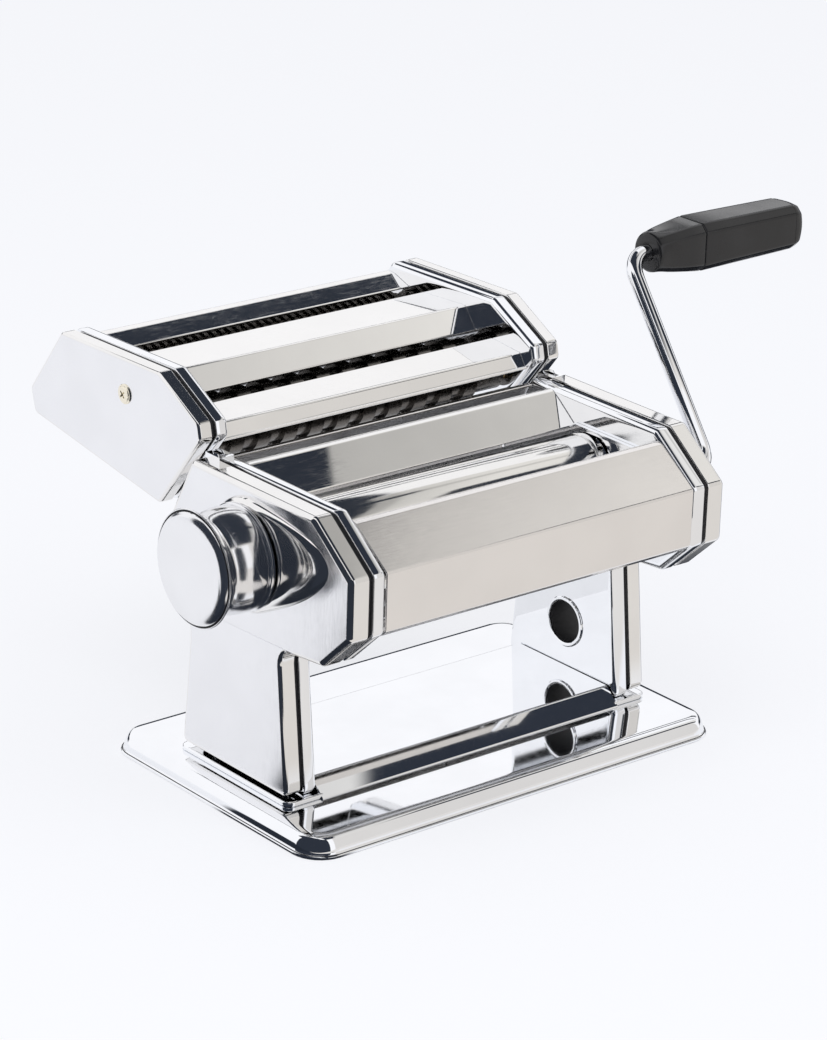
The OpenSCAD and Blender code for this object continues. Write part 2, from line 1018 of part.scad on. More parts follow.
// Discs of one cutting roller. The two rollers of a pair have their discs half a pitch apart
module disc_row(axis, pitch, shift) {
    count = floor((2 * cutter_half - 4) / pitch) - 1;
    width = pitch / 2 - disc_play;
    bar_x(-cutter_half + 0.4, cutter_half - 0.4, axis, core_radius);
    for (i = [0 : count - 1])
        bar_x(disc_place(i, count, pitch, shift), disc_place(i, count, pitch, shift) + width,
            axis, disc_radius);
}

function disc_place(i, count, pitch, shift) =
    (i - count / 2) * pitch + shift * pitch / 2 + disc_play / 2;

module cutting_roller(axis, pitch, shift, driven) {
    difference() {
        union() {
            disc_row(axis, pitch, shift);
            bar_x(-cutter_gear_x - gear_width, cutter_half, axis, cutter_journal);
            bar_x(cutter_half - 1, wall_x + 1.2, axis, cutter_journal);
            if (driven)
                bar_x(wall_x + 1.1, cutter_face_x - 0.4, axis, cutter_journal + 1.9);
        }
        if (driven)
            on_axis(axis)
                translate([wall_x + 2, -socket_square / 2, -socket_square / 2])
                    cube([side_depth, socket_square, socket_square]);
    }
}

module fine_front_cutter() {
    color("slategray")
        cutting_roller(fine_axis, fine_pitch, 0, false);
}

module fine_rear_cutter() {
    color("slategray")
        cutting_roller(fine_rear_axis, fine_pitch, 1, true);
}

module wide_front_cutter() {
    color("slategray")
        cutting_roller(wide_axis, wide_pitch, 0, true);
}

module wide_rear_cutter() {
    color("slategray")
        cutting_roller(wide_rear_axis, wide_pitch, 1, false);
}

// Combs that strip the pasta from the grooves of each cutting roller
module comb(axis, pitch, shift) {
    count = floor((2 * cutter_half - 4) / pitch) - 1;
    tooth_top = axis.y - core_radius - 0.4;
    bar_top = axis.y - disc_radius - 0.6;
    width = pitch / 2 - 2 * disc_play;
    translate([-panel_x, axis.x - 0.8, bar_top - 2.2])
        cube([2 * panel_x, 1.6, 2.2]);
    for (i = [0 : count - 2])
        translate([disc_place(i, count, pitch, shift) + pitch / 2, axis.x - 0.8, bar_top - 1])
            cube([width, 1.6, tooth_top - bar_top + 1]);
}

module cutter_combs() {
    color("lightsteelblue") {
        comb(fine_axis, fine_pitch, 0);
        comb(fine_rear_axis, fine_pitch, 1);
        comb(wide_axis, wide_pitch, 0);
        comb(wide_rear_axis, wide_pitch, 1);
    }
}

module cutter_gear(axis, turn) {
    addendum = 1.3;
    left()
        along_x(cutter_gear_x, cutter_gear_x + gear_width)
            translate(axis)
                difference() {
                    gear_shape(cutter_gear_teeth, pair_spacing / 2, addendum, turn);
                    circle(r = cutter_journal + 0.01);
                }
}

module fine_front_gear() {
    color("dimgray")
        cutter_gear(fine_axis, 0);
}

module fine_rear_gear() {
    color("dimgray")
        cutter_gear(fine_rear_axis, 0);
}

module wide_front_gear() {
    color("dimgray")
        cutter_gear(wide_axis, 0);
}

module wide_rear_gear() {
    color("dimgray")
        cutter_gear(wide_rear_axis, 0);
}

base_plate();
cross_plate();
base_screws();
base_nuts();
left_side_frame();
right_side_frame();
left_side_cover();
right_side_cover();
front_panel();
rear_panel();
hopper_rear_plate();
end_guides();
clamp_socket();
front_scraper();
rear_scraper();
tie_rods();
tie_rod_screws();
hook_loops();
left_roller_bush();
right_roller_bush();
front_roller();
front_roller_gear();
left_bearing_block();
right_bearing_block();
rear_roller();
rear_roller_gear();
adjuster_spindle();
spindle_screw();
knob_spring();
knob_body();
knob_cap();
index_pin();
crank_arm();
grip_push_nut();
crank_grip();
grip_end_cap();
cutter_left_frame();
cutter_right_frame();
cutter_left_cover();
cutter_right_cover();
cutter_rear_plate();
cutter_centre_plate();
cutter_front_plate();
cutter_tie_rods();
cutter_rod_screws();
cutter_posts();
cutter_cover_screws();
cutter_bushes();
cutter_combs();
fine_front_cutter();
fine_rear_cutter();
wide_front_cutter();
wide_rear_cutter();
fine_front_gear();
fine_rear_gear();
wide_front_gear();
wide_rear_gear();
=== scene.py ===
"""Looks of a manual pasta roller machine: chromed frames, satin covers and panels, a turned knob
and a black grip."""
import json
import math

import bmesh
import bpy
from mathutils import Matrix, Vector


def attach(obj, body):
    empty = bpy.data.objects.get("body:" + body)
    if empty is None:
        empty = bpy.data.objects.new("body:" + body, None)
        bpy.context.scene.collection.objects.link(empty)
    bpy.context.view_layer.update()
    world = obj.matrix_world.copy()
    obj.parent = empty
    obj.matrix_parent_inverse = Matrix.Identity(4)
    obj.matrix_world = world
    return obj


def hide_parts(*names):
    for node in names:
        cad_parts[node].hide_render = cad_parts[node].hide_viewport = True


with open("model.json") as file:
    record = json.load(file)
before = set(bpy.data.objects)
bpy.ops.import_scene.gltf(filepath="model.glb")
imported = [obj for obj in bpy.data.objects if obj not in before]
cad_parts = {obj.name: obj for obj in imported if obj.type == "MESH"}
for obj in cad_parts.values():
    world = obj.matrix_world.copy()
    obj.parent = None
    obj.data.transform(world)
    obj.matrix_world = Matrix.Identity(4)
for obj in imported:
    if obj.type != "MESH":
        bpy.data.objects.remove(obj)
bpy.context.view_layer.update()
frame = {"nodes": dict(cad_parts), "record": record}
MM = 0.001

# ---- Camera ----

CAMERA_PLACE = Vector((-0.8992, -1.0759, 0.6292))
CAMERA_HEADING = math.radians(39.73)
CAMERA_DOWN = math.radians(20.89)
CAMERA_ROLL = math.radians(1.753)
FOCAL_PIXELS = 3847.8
FRAME_LONG_SIDE = 1040
SENSOR = 36.0


def add_camera():
    """Camera at the photograph's place; heading is from +Y towards +X."""
    data = bpy.data.cameras.new("camera")
    data.sensor_width = SENSOR
    data.lens = FOCAL_PIXELS * SENSOR / FRAME_LONG_SIDE
    data.clip_start = 0.05
    data.clip_end = 50.0
    camera = bpy.data.objects.new("camera", data)
    bpy.context.collection.objects.link(camera)
    level = math.cos(CAMERA_DOWN)
    ahead = Vector((math.sin(CAMERA_HEADING) * level, math.cos(CAMERA_HEADING) * level,
                    -math.sin(CAMERA_DOWN)))
    flat_right = ahead.cross(Vector((0, 0, 1))).normalized()
    flat_up = flat_right.cross(ahead)
    right = flat_right * math.cos(CAMERA_ROLL) + flat_up * math.sin(CAMERA_ROLL)
    up = right.cross(ahead)
    turn = Matrix((right, up, -ahead)).transposed().to_4x4()
    camera.matrix_world = Matrix.Translation(CAMERA_PLACE) @ turn
    bpy.context.scene.camera = camera


# ---- Node helpers ----

# Sockets of the colour mix node
MIX_FACTOR, MIX_A, MIX_B, MIX_RESULT = 0, 6, 7, 2


class Nodes:
    """A short way to add and link shader nodes."""

    def __init__(self, tree):
        self.tree = tree
        tree.nodes.clear()

    def add(self, kind, values=None, **props):
        node = self.tree.nodes.new(kind)
        for name, value in props.items():
            setattr(node, name, value)
        for key, value in (values or {}).items():
            self.set_input(node, key, value)
        return node

    def set_input(self, node, key, value):
        if isinstance(value, bpy.types.NodeSocket):
            self.tree.links.new(value, node.inputs[key])
        else:
            node.inputs[key].default_value = value

    def math(self, operation, a, b, clamp=False):
        node = self.add("ShaderNodeMath", {0: a, 1: b}, operation=operation, use_clamp=clamp)
        return node.outputs[0]

    def plus(self, a, b):
        return self.math("ADD", a, b)

    def times(self, first, *others):
        for other in others:
            first = self.math("MULTIPLY", first, other)
        return first

    def mix(self, factor, a, b):
        node = self.add("ShaderNodeMix", data_type="RGBA")
        self.set_input(node, MIX_FACTOR, factor)
        self.set_input(node, MIX_A, a)
        self.set_input(node, MIX_B, b)
        return node.outputs[MIX_RESULT]

    def span(self, value, low, high, to_low=0.0, to_high=1.0, kind="SMOOTHSTEP"):
        """A soft step: to_low where value is at low or beyond, to_high where it is at high."""
        node = self.add("ShaderNodeMapRange", {"Value": value, "From Min": low, "From Max": high,
                                               "To Min": to_low, "To Max": to_high})
        node.interpolation_type = kind
        return node.outputs[0]

    def noise(self, vector, scale, detail=2.0, rough=0.5):
        node = self.add("ShaderNodeTexNoise", {"Vector": vector, "Scale": scale,
                                               "Detail": detail, "Roughness": rough})
        return node.outputs["Fac"]

    def bump(self, height, strength, distance):
        node = self.add("ShaderNodeBump",
                        {"Height": height, "Strength": strength, "Distance": distance})
        return node.outputs[0]

    def xy(self):
        """X and Y of the point that is shaded, in metres."""
        position = self.add("ShaderNodeNewGeometry").outputs["Position"]
        split = self.add("ShaderNodeSeparateXYZ", {0: position})
        return split.outputs["X"], split.outputs["Y"]

    def output(self, shader):
        self.add("ShaderNodeOutputMaterial", {"Surface": shader.outputs[0]})


def rgba(colour):
    return (*colour, 1.0)


def new_material(name):
    """An empty material and its nodes."""
    material = bpy.data.materials.new(name)
    material.use_nodes = True
    return material, Nodes(material.node_tree)


# ---- Studio ----

# The camera sees an even white; mirrors see the bands and cards below. A soft edge is a pair of
# places: where its band ends, and where the band is full.
STUDIO_WHITE = (0.947, 0.956, 0.991)
STUDIO_DARK = (0.028, 0.034, 0.048)
ROOM_GREY = (0.62, 0.62, 0.63)
SKY_WHITE = (1.02, 1.02, 1.04)
SKY_FRONT = (0.74, 0.72, 0.70)
FLOOR_FRONT = (0.80, 0.775, 0.75)
FLOOR_PLAIN = (0.8, 0.8, 0.81)
FLOOR_SHADE = (0.27, 0.273, 0.282)
FLOOR_SHADE_FRONT = (0.22, 0.213, 0.206)
FLOOR_GLOW = 0.76
CANOPY_WHITE = (1.0, 0.985, 0.96)
CANOPY_FRONT = (0.86, 0.83, 0.80)
BLACK_PAINT = (0.0, 0.0, 0.0)

# Soft edges in the sky, by direction: a dark horizon away from the camera, a beige part in front
AWAY_X, AWAY_Y = 0.64, 0.77
HORIZON_AWAY = (0.45, 0.6)
HORIZON_TOP = (0.2, 0.17)
SKY_FRONT_Y = (-0.35, -0.42)
SKY_FRONT_X = (0.3, 0.36)

# Soft edges on the floor, in metres
FLOOR_FRONT_Y = (-0.07, -0.12)
RIGHT_PATCH_X = (0.112, 0.13)
RIGHT_PATCH_FRONT = (-0.05, 0.0)
RIGHT_PATCH_BACK = (0.13, 0.10)
LEFT_PATCH_START = 0.24
LEFT_PATCH_SLOPE = 0.8
LEFT_PATCH_SLANT = (0.108, 0.098)
LEFT_PATCH_FRONT = (-0.12, -0.10)
LEFT_PATCH_RIGHT = (-0.08, -0.09)
LEFT_PATCH_LEFT = (-0.32, -0.30)


def world_studio():
    """White backdrop for the camera and for the metal, a plain grey for everything else."""
    world = bpy.data.worlds.new("studio")
    bpy.context.scene.world = world
    world.use_nodes = True
    n = Nodes(world.node_tree)
    path = n.add("ShaderNodeLightPath")
    heading = n.add("ShaderNodeTexCoord").outputs["Generated"]
    split = n.add("ShaderNodeSeparateXYZ", {0: heading})
    x, y, z = (split.outputs[axis] for axis in "XYZ")
    away = n.plus(n.times(x, AWAY_X), n.times(y, AWAY_Y))
    horizon = n.times(n.span(away, *HORIZON_AWAY), n.span(z, *HORIZON_TOP))
    front = n.times(n.span(y, *SKY_FRONT_Y), n.span(x, *SKY_FRONT_X))
    sky = n.mix(front, rgba(SKY_WHITE), rgba(SKY_FRONT))
    sky = n.mix(horizon, sky, rgba(STUDIO_DARK))
    mirrored = n.mix(path.outputs["Is Glossy Ray"], rgba(ROOM_GREY), sky)
    colour = n.mix(path.outputs["Is Camera Ray"], mirrored, rgba(STUDIO_WHITE))
    back = n.add("ShaderNodeBackground", {"Color": colour, "Strength": 1.0})
    n.add("ShaderNodeOutputWorld", {"Surface": back.outputs[0]})


def floor_material():
    """Pale for the camera. Mirrors see it beige in front, and dark in a patch right of the machine
    and in a slanted patch left of it."""
    material, n = new_material("floor")
    path = n.add("ShaderNodeLightPath")
    mirror = path.outputs["Is Glossy Ray"]
    x, y = n.xy()
    front = n.times(n.span(y, *FLOOR_FRONT_Y), mirror)
    right = n.times(n.span(x, *RIGHT_PATCH_X), n.span(y, *RIGHT_PATCH_FRONT),
                    n.span(y, *RIGHT_PATCH_BACK))
    slant = n.plus(y, n.times(n.plus(x, LEFT_PATCH_START), LEFT_PATCH_SLOPE))
    left = n.times(n.span(slant, *LEFT_PATCH_SLANT), n.span(y, *LEFT_PATCH_FRONT),
                   n.span(x, *LEFT_PATCH_RIGHT), n.span(x, *LEFT_PATCH_LEFT))
    dark = n.times(n.math("MAXIMUM", right, left), mirror)
    glow_tint = n.mix(dark, n.mix(front, rgba(STUDIO_WHITE), rgba(FLOOR_FRONT)), rgba(STUDIO_DARK))
    shade_tint = n.mix(front, rgba(FLOOR_SHADE), rgba(FLOOR_SHADE_FRONT))
    shade_tint = n.mix(dark, shade_tint, rgba(BLACK_PAINT))
    glow = n.add("ShaderNodeEmission", {"Color": glow_tint, "Strength": FLOOR_GLOW})
    shade = n.add("ShaderNodeBsdfDiffuse", {"Color": shade_tint})
    both = n.add("ShaderNodeAddShader", {0: glow.outputs[0], 1: shade.outputs[0]})
    plain = n.add("ShaderNodeBsdfDiffuse", {"Color": rgba(FLOOR_PLAIN)})
    seen = n.math("MAXIMUM", path.outputs["Is Camera Ray"], mirror)
    seen = n.math("MAXIMUM", seen, path.outputs["Is Transmission Ray"])
    n.output(n.add("ShaderNodeMixShader", {0: seen, 1: plain.outputs[0], 2: both.outputs[0]}))
    return material


def add_floor():
    """A wide floor at Z = 0."""
    bpy.ops.mesh.primitive_plane_add(size=30)
    floor = bpy.context.object
    floor.name = "floor"
    floor.data.materials.append(floor_material())


def add_lamp(name, place, target, size, power):
    """A square lamp aimed at a point, which mirrors don't see."""
    data = bpy.data.lights.new(name, "AREA")
    data.shape = "RECTANGLE"
    data.size = data.size_y = size
    data.energy = power
    lamp = bpy.data.objects.new(name, data)
    bpy.context.collection.objects.link(lamp)
    lamp.location = place
    lamp.rotation_euler = (Vector(target) - Vector(place)).to_track_quat("-Z", "Y").to_euler()
    lamp.visible_glossy = False


def add_lights():
    middle = (0, 0, 0.08)
    add_lamp("key", (-0.9, -0.3, 1.6), middle, 1.2, 9.0)
    add_lamp("fill", (0.9, -1.2, 1.0), middle, 1.0, 4.0)


def studio_card(name, width, depth, place, turn, material):
    """A flat card beside the set that only mirrors see."""
    bm = bmesh.new()
    bmesh.ops.create_grid(bm, x_segments=1, y_segments=1, size=0.5)
    mesh = bpy.data.meshes.new(name)
    bm.to_mesh(mesh)
    bm.free()
    card = bpy.data.objects.new(name, mesh)
    bpy.context.collection.objects.link(card)
    card.scale = (width, depth, 1)
    card.location = place
    card.rotation_euler = turn
    mesh.materials.append(material)
    card.visible_camera = False
    card.visible_shadow = False
    card.visible_diffuse = False


# The canopy above the crank side: its size and its bands, in metres
CANOPY_HEIGHT = 0.50
CANOPY_MIDDLE_X = 0.49
CANOPY_WIDTH = 1.22
CANOPY_NEAR_END = -0.40
CANOPY_FAR_END = 0.54
LIT_BACK = (0.302, 0.287)
LIT_FRONT = (-0.255, -0.235)
LIT_FRONT_OPEN_X = (0.34, 0.32)
LIT_LEFT = (0.155, 0.160)
REAR_SHIFT_Y = (0.03, 0.04)
REAR_SHIFT = 0.035
STRIP_FRONT = (-0.085, -0.080)
STRIP_BACK = (-0.040, -0.046)
STRIP_REACH = 0.074
STRIP_DIM = 0.74
GLOW_X = (0.22, 0.40)
GLOW_RANGE = (0.66, 0.86)
GLOW_EDGE_X = (0.192, 0.212)
GLOW_EDGE_DIM = 0.68
WHITE_Y = (0.03, 0.036)
REAR_BAND_FRONT = (0.326, 0.332)
REAR_BAND_BACK = (0.445, 0.44)
FRONT_BAND = (-0.34, -0.40)


def canopy_material():
    """Dark at the left and lit right of a soft edge, with one strip that reaches further left.
    The lit part is white at the back; a white band lies behind it and a beige one in front."""
    material, n = new_material("canopy")
    x, y = n.xy()
    strip = n.times(n.span(y, *STRIP_BACK), n.span(y, *STRIP_FRONT))
    edge = n.math("SUBTRACT", x, n.times(strip, STRIP_REACH))
    edge = n.math("SUBTRACT", edge, n.span(y, *REAR_SHIFT_Y, 0.0, REAR_SHIFT))
    front_end = n.math("MAXIMUM", n.span(y, *LIT_FRONT), n.span(x, *LIT_FRONT_OPEN_X))
    lit = n.times(n.span(y, *LIT_BACK), front_end, n.span(edge, *LIT_LEFT))
    glow = n.times(n.span(x, *GLOW_X, *GLOW_RANGE, kind="LINEAR"),
                   n.span(x, *GLOW_EDGE_X, GLOW_EDGE_DIM, 1.0),
                   n.span(strip, 0.0, 1.0, 1.0, STRIP_DIM))
    glow = n.mix(glow, rgba(BLACK_PAINT), rgba(CANOPY_WHITE))
    glow = n.mix(n.span(y, *WHITE_Y), glow, rgba(SKY_WHITE))
    colour = n.mix(lit, rgba(STUDIO_DARK), glow)
    rear = n.times(n.span(y, *REAR_BAND_FRONT), n.span(y, *REAR_BAND_BACK))
    colour = n.mix(rear, colour, rgba(SKY_WHITE))
    colour = n.mix(n.span(y, *FRONT_BAND), colour, rgba(CANOPY_FRONT))
    n.output(n.add("ShaderNodeEmission", {"Color": colour, "Strength": 1.0}))
    return material


def flag_material():
    material, n = new_material("flag")
    n.output(n.add("ShaderNodeEmission", {"Color": rgba(STUDIO_DARK), "Strength": 1.0}))
    return material


# Upright dark flags left of the machine: width along Y, height, and the middle's Y and Z
LEFT_FLAG_X = -0.20
LEFT_FLAGS = {
    "low_left_flag": (0.62, 0.10, -0.29, 0.051),
    "high_left_flag": (0.68, 0.26, -0.265, 0.231),
    "small_left_flag": (0.30, 0.095, -0.25, 0.4175),
}
# The flag in front stands this far from the middle, this many degrees round to the left
FRONT_FLAG_REACH = 0.25
FRONT_FLAG_HEADING = math.radians(48)


def add_cards():
    """The canopy, the dark flag in front and the dark flags to the left."""
    studio_card("canopy", CANOPY_WIDTH, CANOPY_FAR_END - CANOPY_NEAR_END,
                (CANOPY_MIDDLE_X, (CANOPY_FAR_END + CANOPY_NEAR_END) / 2, CANOPY_HEIGHT),
                (0, 0, 0), canopy_material())
    flag = flag_material()
    upright = math.radians(90)
    place = (-FRONT_FLAG_REACH * math.sin(FRONT_FLAG_HEADING),
             -FRONT_FLAG_REACH * math.cos(FRONT_FLAG_HEADING), 0.172)
    studio_card("front_flag", 0.30, 0.34, place, (upright, 0, -FRONT_FLAG_HEADING), flag)
    for name, (width, height, y, z) in LEFT_FLAGS.items():
        studio_card(name, width, height, (LEFT_FLAG_X, y, z), (upright, 0, upright), flag)


# ---- Materials ----

# Noise scales of a metal: clouds, smears and scratches; the numbers are waves to a metre
CLOUD_SCALE = 38.0
SMEAR_SCALE = 260.0
SCRATCH_TURN = (0.5, 0.9, 0.4)
SCRATCH_SCALE = (30, 1400, 900)
GRAIN_ROUGHNESS = 0.03
GRAIN_DEPTH = 0.00005
DULL = 0.965
PLASTIC_IOR = 1.46


def metal(name, colour, rough, grain=None, bump=0.0, blotch=0.03, stretch=(1, 1, 1), scratches=0.0):
    """A metal with cloudy roughness, fine grain lines and faint handling marks."""
    material, n = new_material(name)
    place = n.add("ShaderNodeTexCoord").outputs["Object"]
    cloud = n.noise(place, CLOUD_SCALE, 3.0)
    smear = n.noise(place, SMEAR_SCALE, 4.0, 0.6)
    wear = n.plus(n.times(cloud, 0.6), n.times(smear, 0.4))
    roughness = n.span(wear, 0.35, 0.65, max(rough - blotch, 0.01), rough + blotch)
    dull = tuple(part * DULL for part in colour)
    base = n.mix(n.span(cloud, 0.3, 0.7), rgba(dull), rgba(colour))
    shader = n.add("ShaderNodeBsdfPrincipled", {"Base Color": base, "Metallic": 1.0})
    if grain:
        stretched = n.add("ShaderNodeMapping", {"Vector": place, "Scale": stretch})
        lines = n.noise(stretched.outputs[0], grain, 2.0, 0.7)
        uneven = n.span(lines, 0.3, 0.7, -GRAIN_ROUGHNESS, GRAIN_ROUGHNESS)
        roughness = n.math("ADD", roughness, uneven, clamp=True)
        n.set_input(shader, "Normal", n.bump(lines, bump, GRAIN_DEPTH))
    if scratches:
        turned = n.add("ShaderNodeMapping",
                       {"Vector": place, "Rotation": SCRATCH_TURN, "Scale": SCRATCH_SCALE})
        marks = n.span(n.noise(turned.outputs[0], 1.0, 1.0), 0.72, 0.8)
        roughness = n.math("ADD", roughness, n.times(marks, scratches), clamp=True)
    n.set_input(shader, "Roughness", roughness)
    n.output(shader)
    return material


def gloss_plastic(name, colour, rough):
    """A shiny moulded plastic with a very fine grit."""
    material, n = new_material(name)
    place = n.add("ShaderNodeTexCoord").outputs["Object"]
    cloud = n.noise(place, 60.0, 3.0)
    grit = n.noise(place, 2400.0, 2.0, 0.6)
    pale = tuple(part * 1.5 for part in colour)
    base = n.mix(n.span(cloud, 0.3, 0.7), rgba(colour), rgba(pale))
    roughness = n.span(cloud, 0.3, 0.7, rough - 0.03, rough + 0.05)
    n.output(n.add("ShaderNodeBsdfPrincipled",
                   {"Base Color": base, "Roughness": roughness, "IOR": PLASTIC_IOR,
                    "Normal": n.bump(grit, 0.05, 0.00004)}))
    return material


def painted_shade_metal(name):
    """Painted shade: a near-black matte that stands in for the shadow inside seams, grooves and
    tubes, and under the base's rim.
    """
    material, n = new_material(name)
    place = n.add("ShaderNodeTexCoord").outputs["Object"]
    cloud = n.noise(place, 400.0, 3.0)
    base = n.mix(cloud, rgba((0.008, 0.008, 0.01)), rgba((0.03, 0.03, 0.034)))
    n.output(n.add("ShaderNodeBsdfPrincipled", {"Base Color": base, "Roughness": 0.6}))
    return material


CHROME = metal("chrome", (0.93, 0.94, 0.96), 0.035, blotch=0.015, scratches=0.06)
ROLLER = metal("roller_steel", (0.88, 0.87, 0.85), 0.10, grain=3000.0, bump=0.03,
               stretch=(0.03, 1, 1), blotch=0.02)
SATIN = metal("satin_cover", (0.89, 0.89, 0.905), 0.19, grain=2200.0, bump=0.08,
              stretch=(1, 1, 0.06))
EDGE = metal("cover_edge", (0.88, 0.87, 0.855), 0.08, blotch=0.03, scratches=0.05)
PANEL = metal("panel_sheet", (0.86, 0.835, 0.815), 0.17, grain=2600.0, bump=0.02,
              stretch=(0.05, 1, 1), blotch=0.02)
SHEET = metal("polished_sheet", (0.90, 0.89, 0.875), 0.045, grain=2600.0, bump=0.01,
              stretch=(0.05, 1, 1), blotch=0.02)
TURNED = metal("turned_steel", (0.88, 0.88, 0.89), 0.13, grain=2600.0, bump=0.12,
               stretch=(1, 0.04, 0.04), scratches=0.1)
# The cutters' steel is darkened well below real steel to paint the shade that falls in the cutter
# slots
SHADED_CUTTER = metal("cutter_steel", (0.15, 0.14, 0.13), 0.27, grain=900.0, bump=0.1)
COMB = metal("comb_steel", (0.62, 0.63, 0.65), 0.25, grain=1800.0, bump=0.1, stretch=(0.1, 1, 1))
ZINC = metal("zinc_steel", (0.66, 0.67, 0.69), 0.28, grain=700.0, bump=0.15, blotch=0.06)
GEAR = metal("gear_steel", (0.38, 0.38, 0.40), 0.33, grain=1100.0, bump=0.15, blotch=0.06)
BRONZE = metal("bearing_bronze", (0.72, 0.53, 0.28), 0.3, grain=1500.0, bump=0.1)
BRASS = metal("brass_screw", (0.90, 0.84, 0.70), 0.2, grain=1500.0, bump=0.1)
BLACK = gloss_plastic("black_grip", (0.011, 0.011, 0.012), 0.16)
# Painted shade for the covers' necks, the knob's groove, the clamp tube's inside and the base's
# lower rim
PAINTED_SHADE = painted_shade_metal("seam")

SLOT_MATERIALS = {
    "polished_chrome": CHROME, "satin_steel": SATIN, "panel_steel": PANEL, "turned_steel": TURNED,
    "cutter_steel": SHADED_CUTTER, "comb_steel": COMB, "zinc_steel": ZINC, "gear_steel": GEAR,
    "bearing_bronze": BRONZE, "brass_screw": BRASS, "black_grip": BLACK,
}


def dress_cad_nodes():
    """Gives each solid that stays visible the material of its slot."""
    for part in frame["record"]["subparts"]:
        node = frame["nodes"][part["node"]]
        material = SLOT_MATERIALS[part["material_slot"]]
        for slot in node.material_slots:
            slot.material = material


# ---- Mesh helpers, in millimetres ----

# Points this close to a bend keep the flats beside it flat in the shading
FLAT_MARGIN = 0.25
# Smallest radius of an inset corner, and the most of a flat that one bend's arc may take
LEAST_ROUND = 0.3
MOST_OF_FLAT = 0.46
# How far a sheet's long edge bulges, as a part of its thickness
EDGE_BULGE = 0.3
SHEET_THICKNESS = 1.0
SHARP_ANGLE = 30
# Material numbers within a piece that has more than one; the first is the painted shade of seams
# and grooves
SHADE_SLOT, RIM = 1, 2


def unit(v):
    return v.normalized()


def left_of(v):
    return Vector((-v.y, v.x))


def inset_outline(points, radius, inset=0.0, radii=None, steps=6):
    """An anticlockwise outline with round corners, moved inwards; the point count never changes."""
    points = [Vector(p) for p in points]
    out = []
    count = len(points)
    for i, corner in enumerate(points):
        into = unit(corner - points[i - 1])
        away = unit(points[(i + 1) % count] - corner)
        side_in, side_out = left_of(into), left_of(away)
        corner = corner + (side_in + side_out) * inset / (1 + side_in.dot(side_out))
        turn = math.atan2(into.cross(away), into.dot(away))
        round_by = (radii or {}).get(i, radius)
        round_by = max(round_by - inset, LEAST_ROUND) if turn > 0 else round_by + inset
        reach = round_by * math.tan(abs(turn) / 2)
        start = corner - into * reach
        middle = start + side_in * math.copysign(round_by, turn)
        out.append(start - into * FLAT_MARGIN)
        for k in range(steps + 1):
            spin = Matrix.Rotation(turn * k / steps, 2)
            out.append(middle + spin @ (start - middle))
        out.append(corner + away * (reach + FLAT_MARGIN))
    return out


def round_points(count, radius=1.0):
    """Points spread evenly round a circle."""
    angles = (2 * math.pi * k / count for k in range(count))
    return [Vector((math.cos(angle), math.sin(angle))) * radius for angle in angles]


def new_piece(name, mesh, materials, body, replaced, smooth_angle=SHARP_ANGLE):
    """A visible piece on a body, in place of one solid; sharp where faces meet beyond an angle."""
    piece = bpy.data.objects.new(name, mesh)
    bpy.context.collection.objects.link(piece)
    for item in materials:
        mesh.materials.append(item)
    mesh.shade_smooth()
    mesh.set_sharp_from_angle(angle=math.radians(smooth_angle))
    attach(piece, body)
    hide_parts(replaced)
    return piece


def loft(name, rings, materials=None, closed=True):
    """Skin between rings of equal length, each a list of (x, y, z) in mm; closed fills the ends.
    materials gives the material number of the skin after a ring, where it isn't 0."""
    bm = bmesh.new()
    rows = [[bm.verts.new(Vector(p) * MM) for p in ring] for ring in rings]
    for level, (a, b) in enumerate(zip(rows, rows[1:])):
        for k in range(len(a)):
            m = (k + 1) % len(a)
            face = bm.faces.new((a[k], a[m], b[m], b[k]))
            face.material_index = (materials or {}).get(level, 0)
    if closed:
        bm.faces.new(rows[0][::-1])
        bm.faces.new(rows[-1])
    bmesh.ops.recalc_face_normals(bm, faces=bm.faces)
    mesh = bpy.data.meshes.new(name)
    bm.to_mesh(mesh)
    bm.free()
    return mesh


def ring_x(points, x):
    """Outline points (y, z) as a ring at one place along X."""
    return [(x, p.x, p.y) for p in points]


def side_rings(outline, radius, stations, side, radii=None):
    """Rings of a frame or cover; stations are (x, inset), side is 1 for right and -1 for left."""
    return [ring_x(inset_outline(outline, radius, inset, radii), side * x) for x, inset in stations]


def arc_stations(x, inset, reach, steps=5):
    """Stations of a quarter-round edge from a face at x to the side at x + reach."""
    out = []
    for k in range(steps + 1):
        angle = math.radians(90 * k / steps)
        out.append((x + reach * (1 - math.cos(angle)), inset + reach * (1 - math.sin(angle))))
    return out


def joined(name, meshes):
    """One mesh made of several, which may overlap; material numbers are kept."""
    bm = bmesh.new()
    for mesh in meshes:
        bm.from_mesh(mesh)
        bpy.data.meshes.remove(mesh)
    mesh = bpy.data.meshes.new(name)
    bm.to_mesh(mesh)
    bm.free()
    return mesh


def cut_away(piece, meshes):
    """Cuts closed meshes out of a piece and applies the result."""
    tool = bpy.data.objects.new("tool", joined("tool", meshes))
    bpy.context.collection.objects.link(tool)
    cut = piece.modifiers.new("cut", "BOOLEAN")
    cut.operation = "DIFFERENCE"
    cut.solver = "EXACT"
    cut.use_self = True
    cut.object = tool
    bpy.context.view_layer.update()
    graph = bpy.context.evaluated_depsgraph_get()
    result = bpy.data.meshes.new_from_object(piece.evaluated_get(graph))
    piece.modifiers.clear()
    piece.data = result
    result.set_sharp_from_angle(angle=math.radians(SHARP_ANGLE))
    bpy.data.objects.remove(tool)


def turned_x(name, profile, axis, side=1, segments=96, closed=True, materials=None):
    """A body turned about an axis along X; the profile is (x, radius)."""
    rings = [ring_x([Vector(axis) + p for p in round_points(segments, radius)], side * x)
             for x, radius in profile]
    return loft(name, rings, materials, closed)


def bore(span, radius, axis, side=1, segments=48):
    """A round tool for cut_away, between two places along X."""
    return turned_x("bore", [(x, radius) for x in span], axis, side, segments)


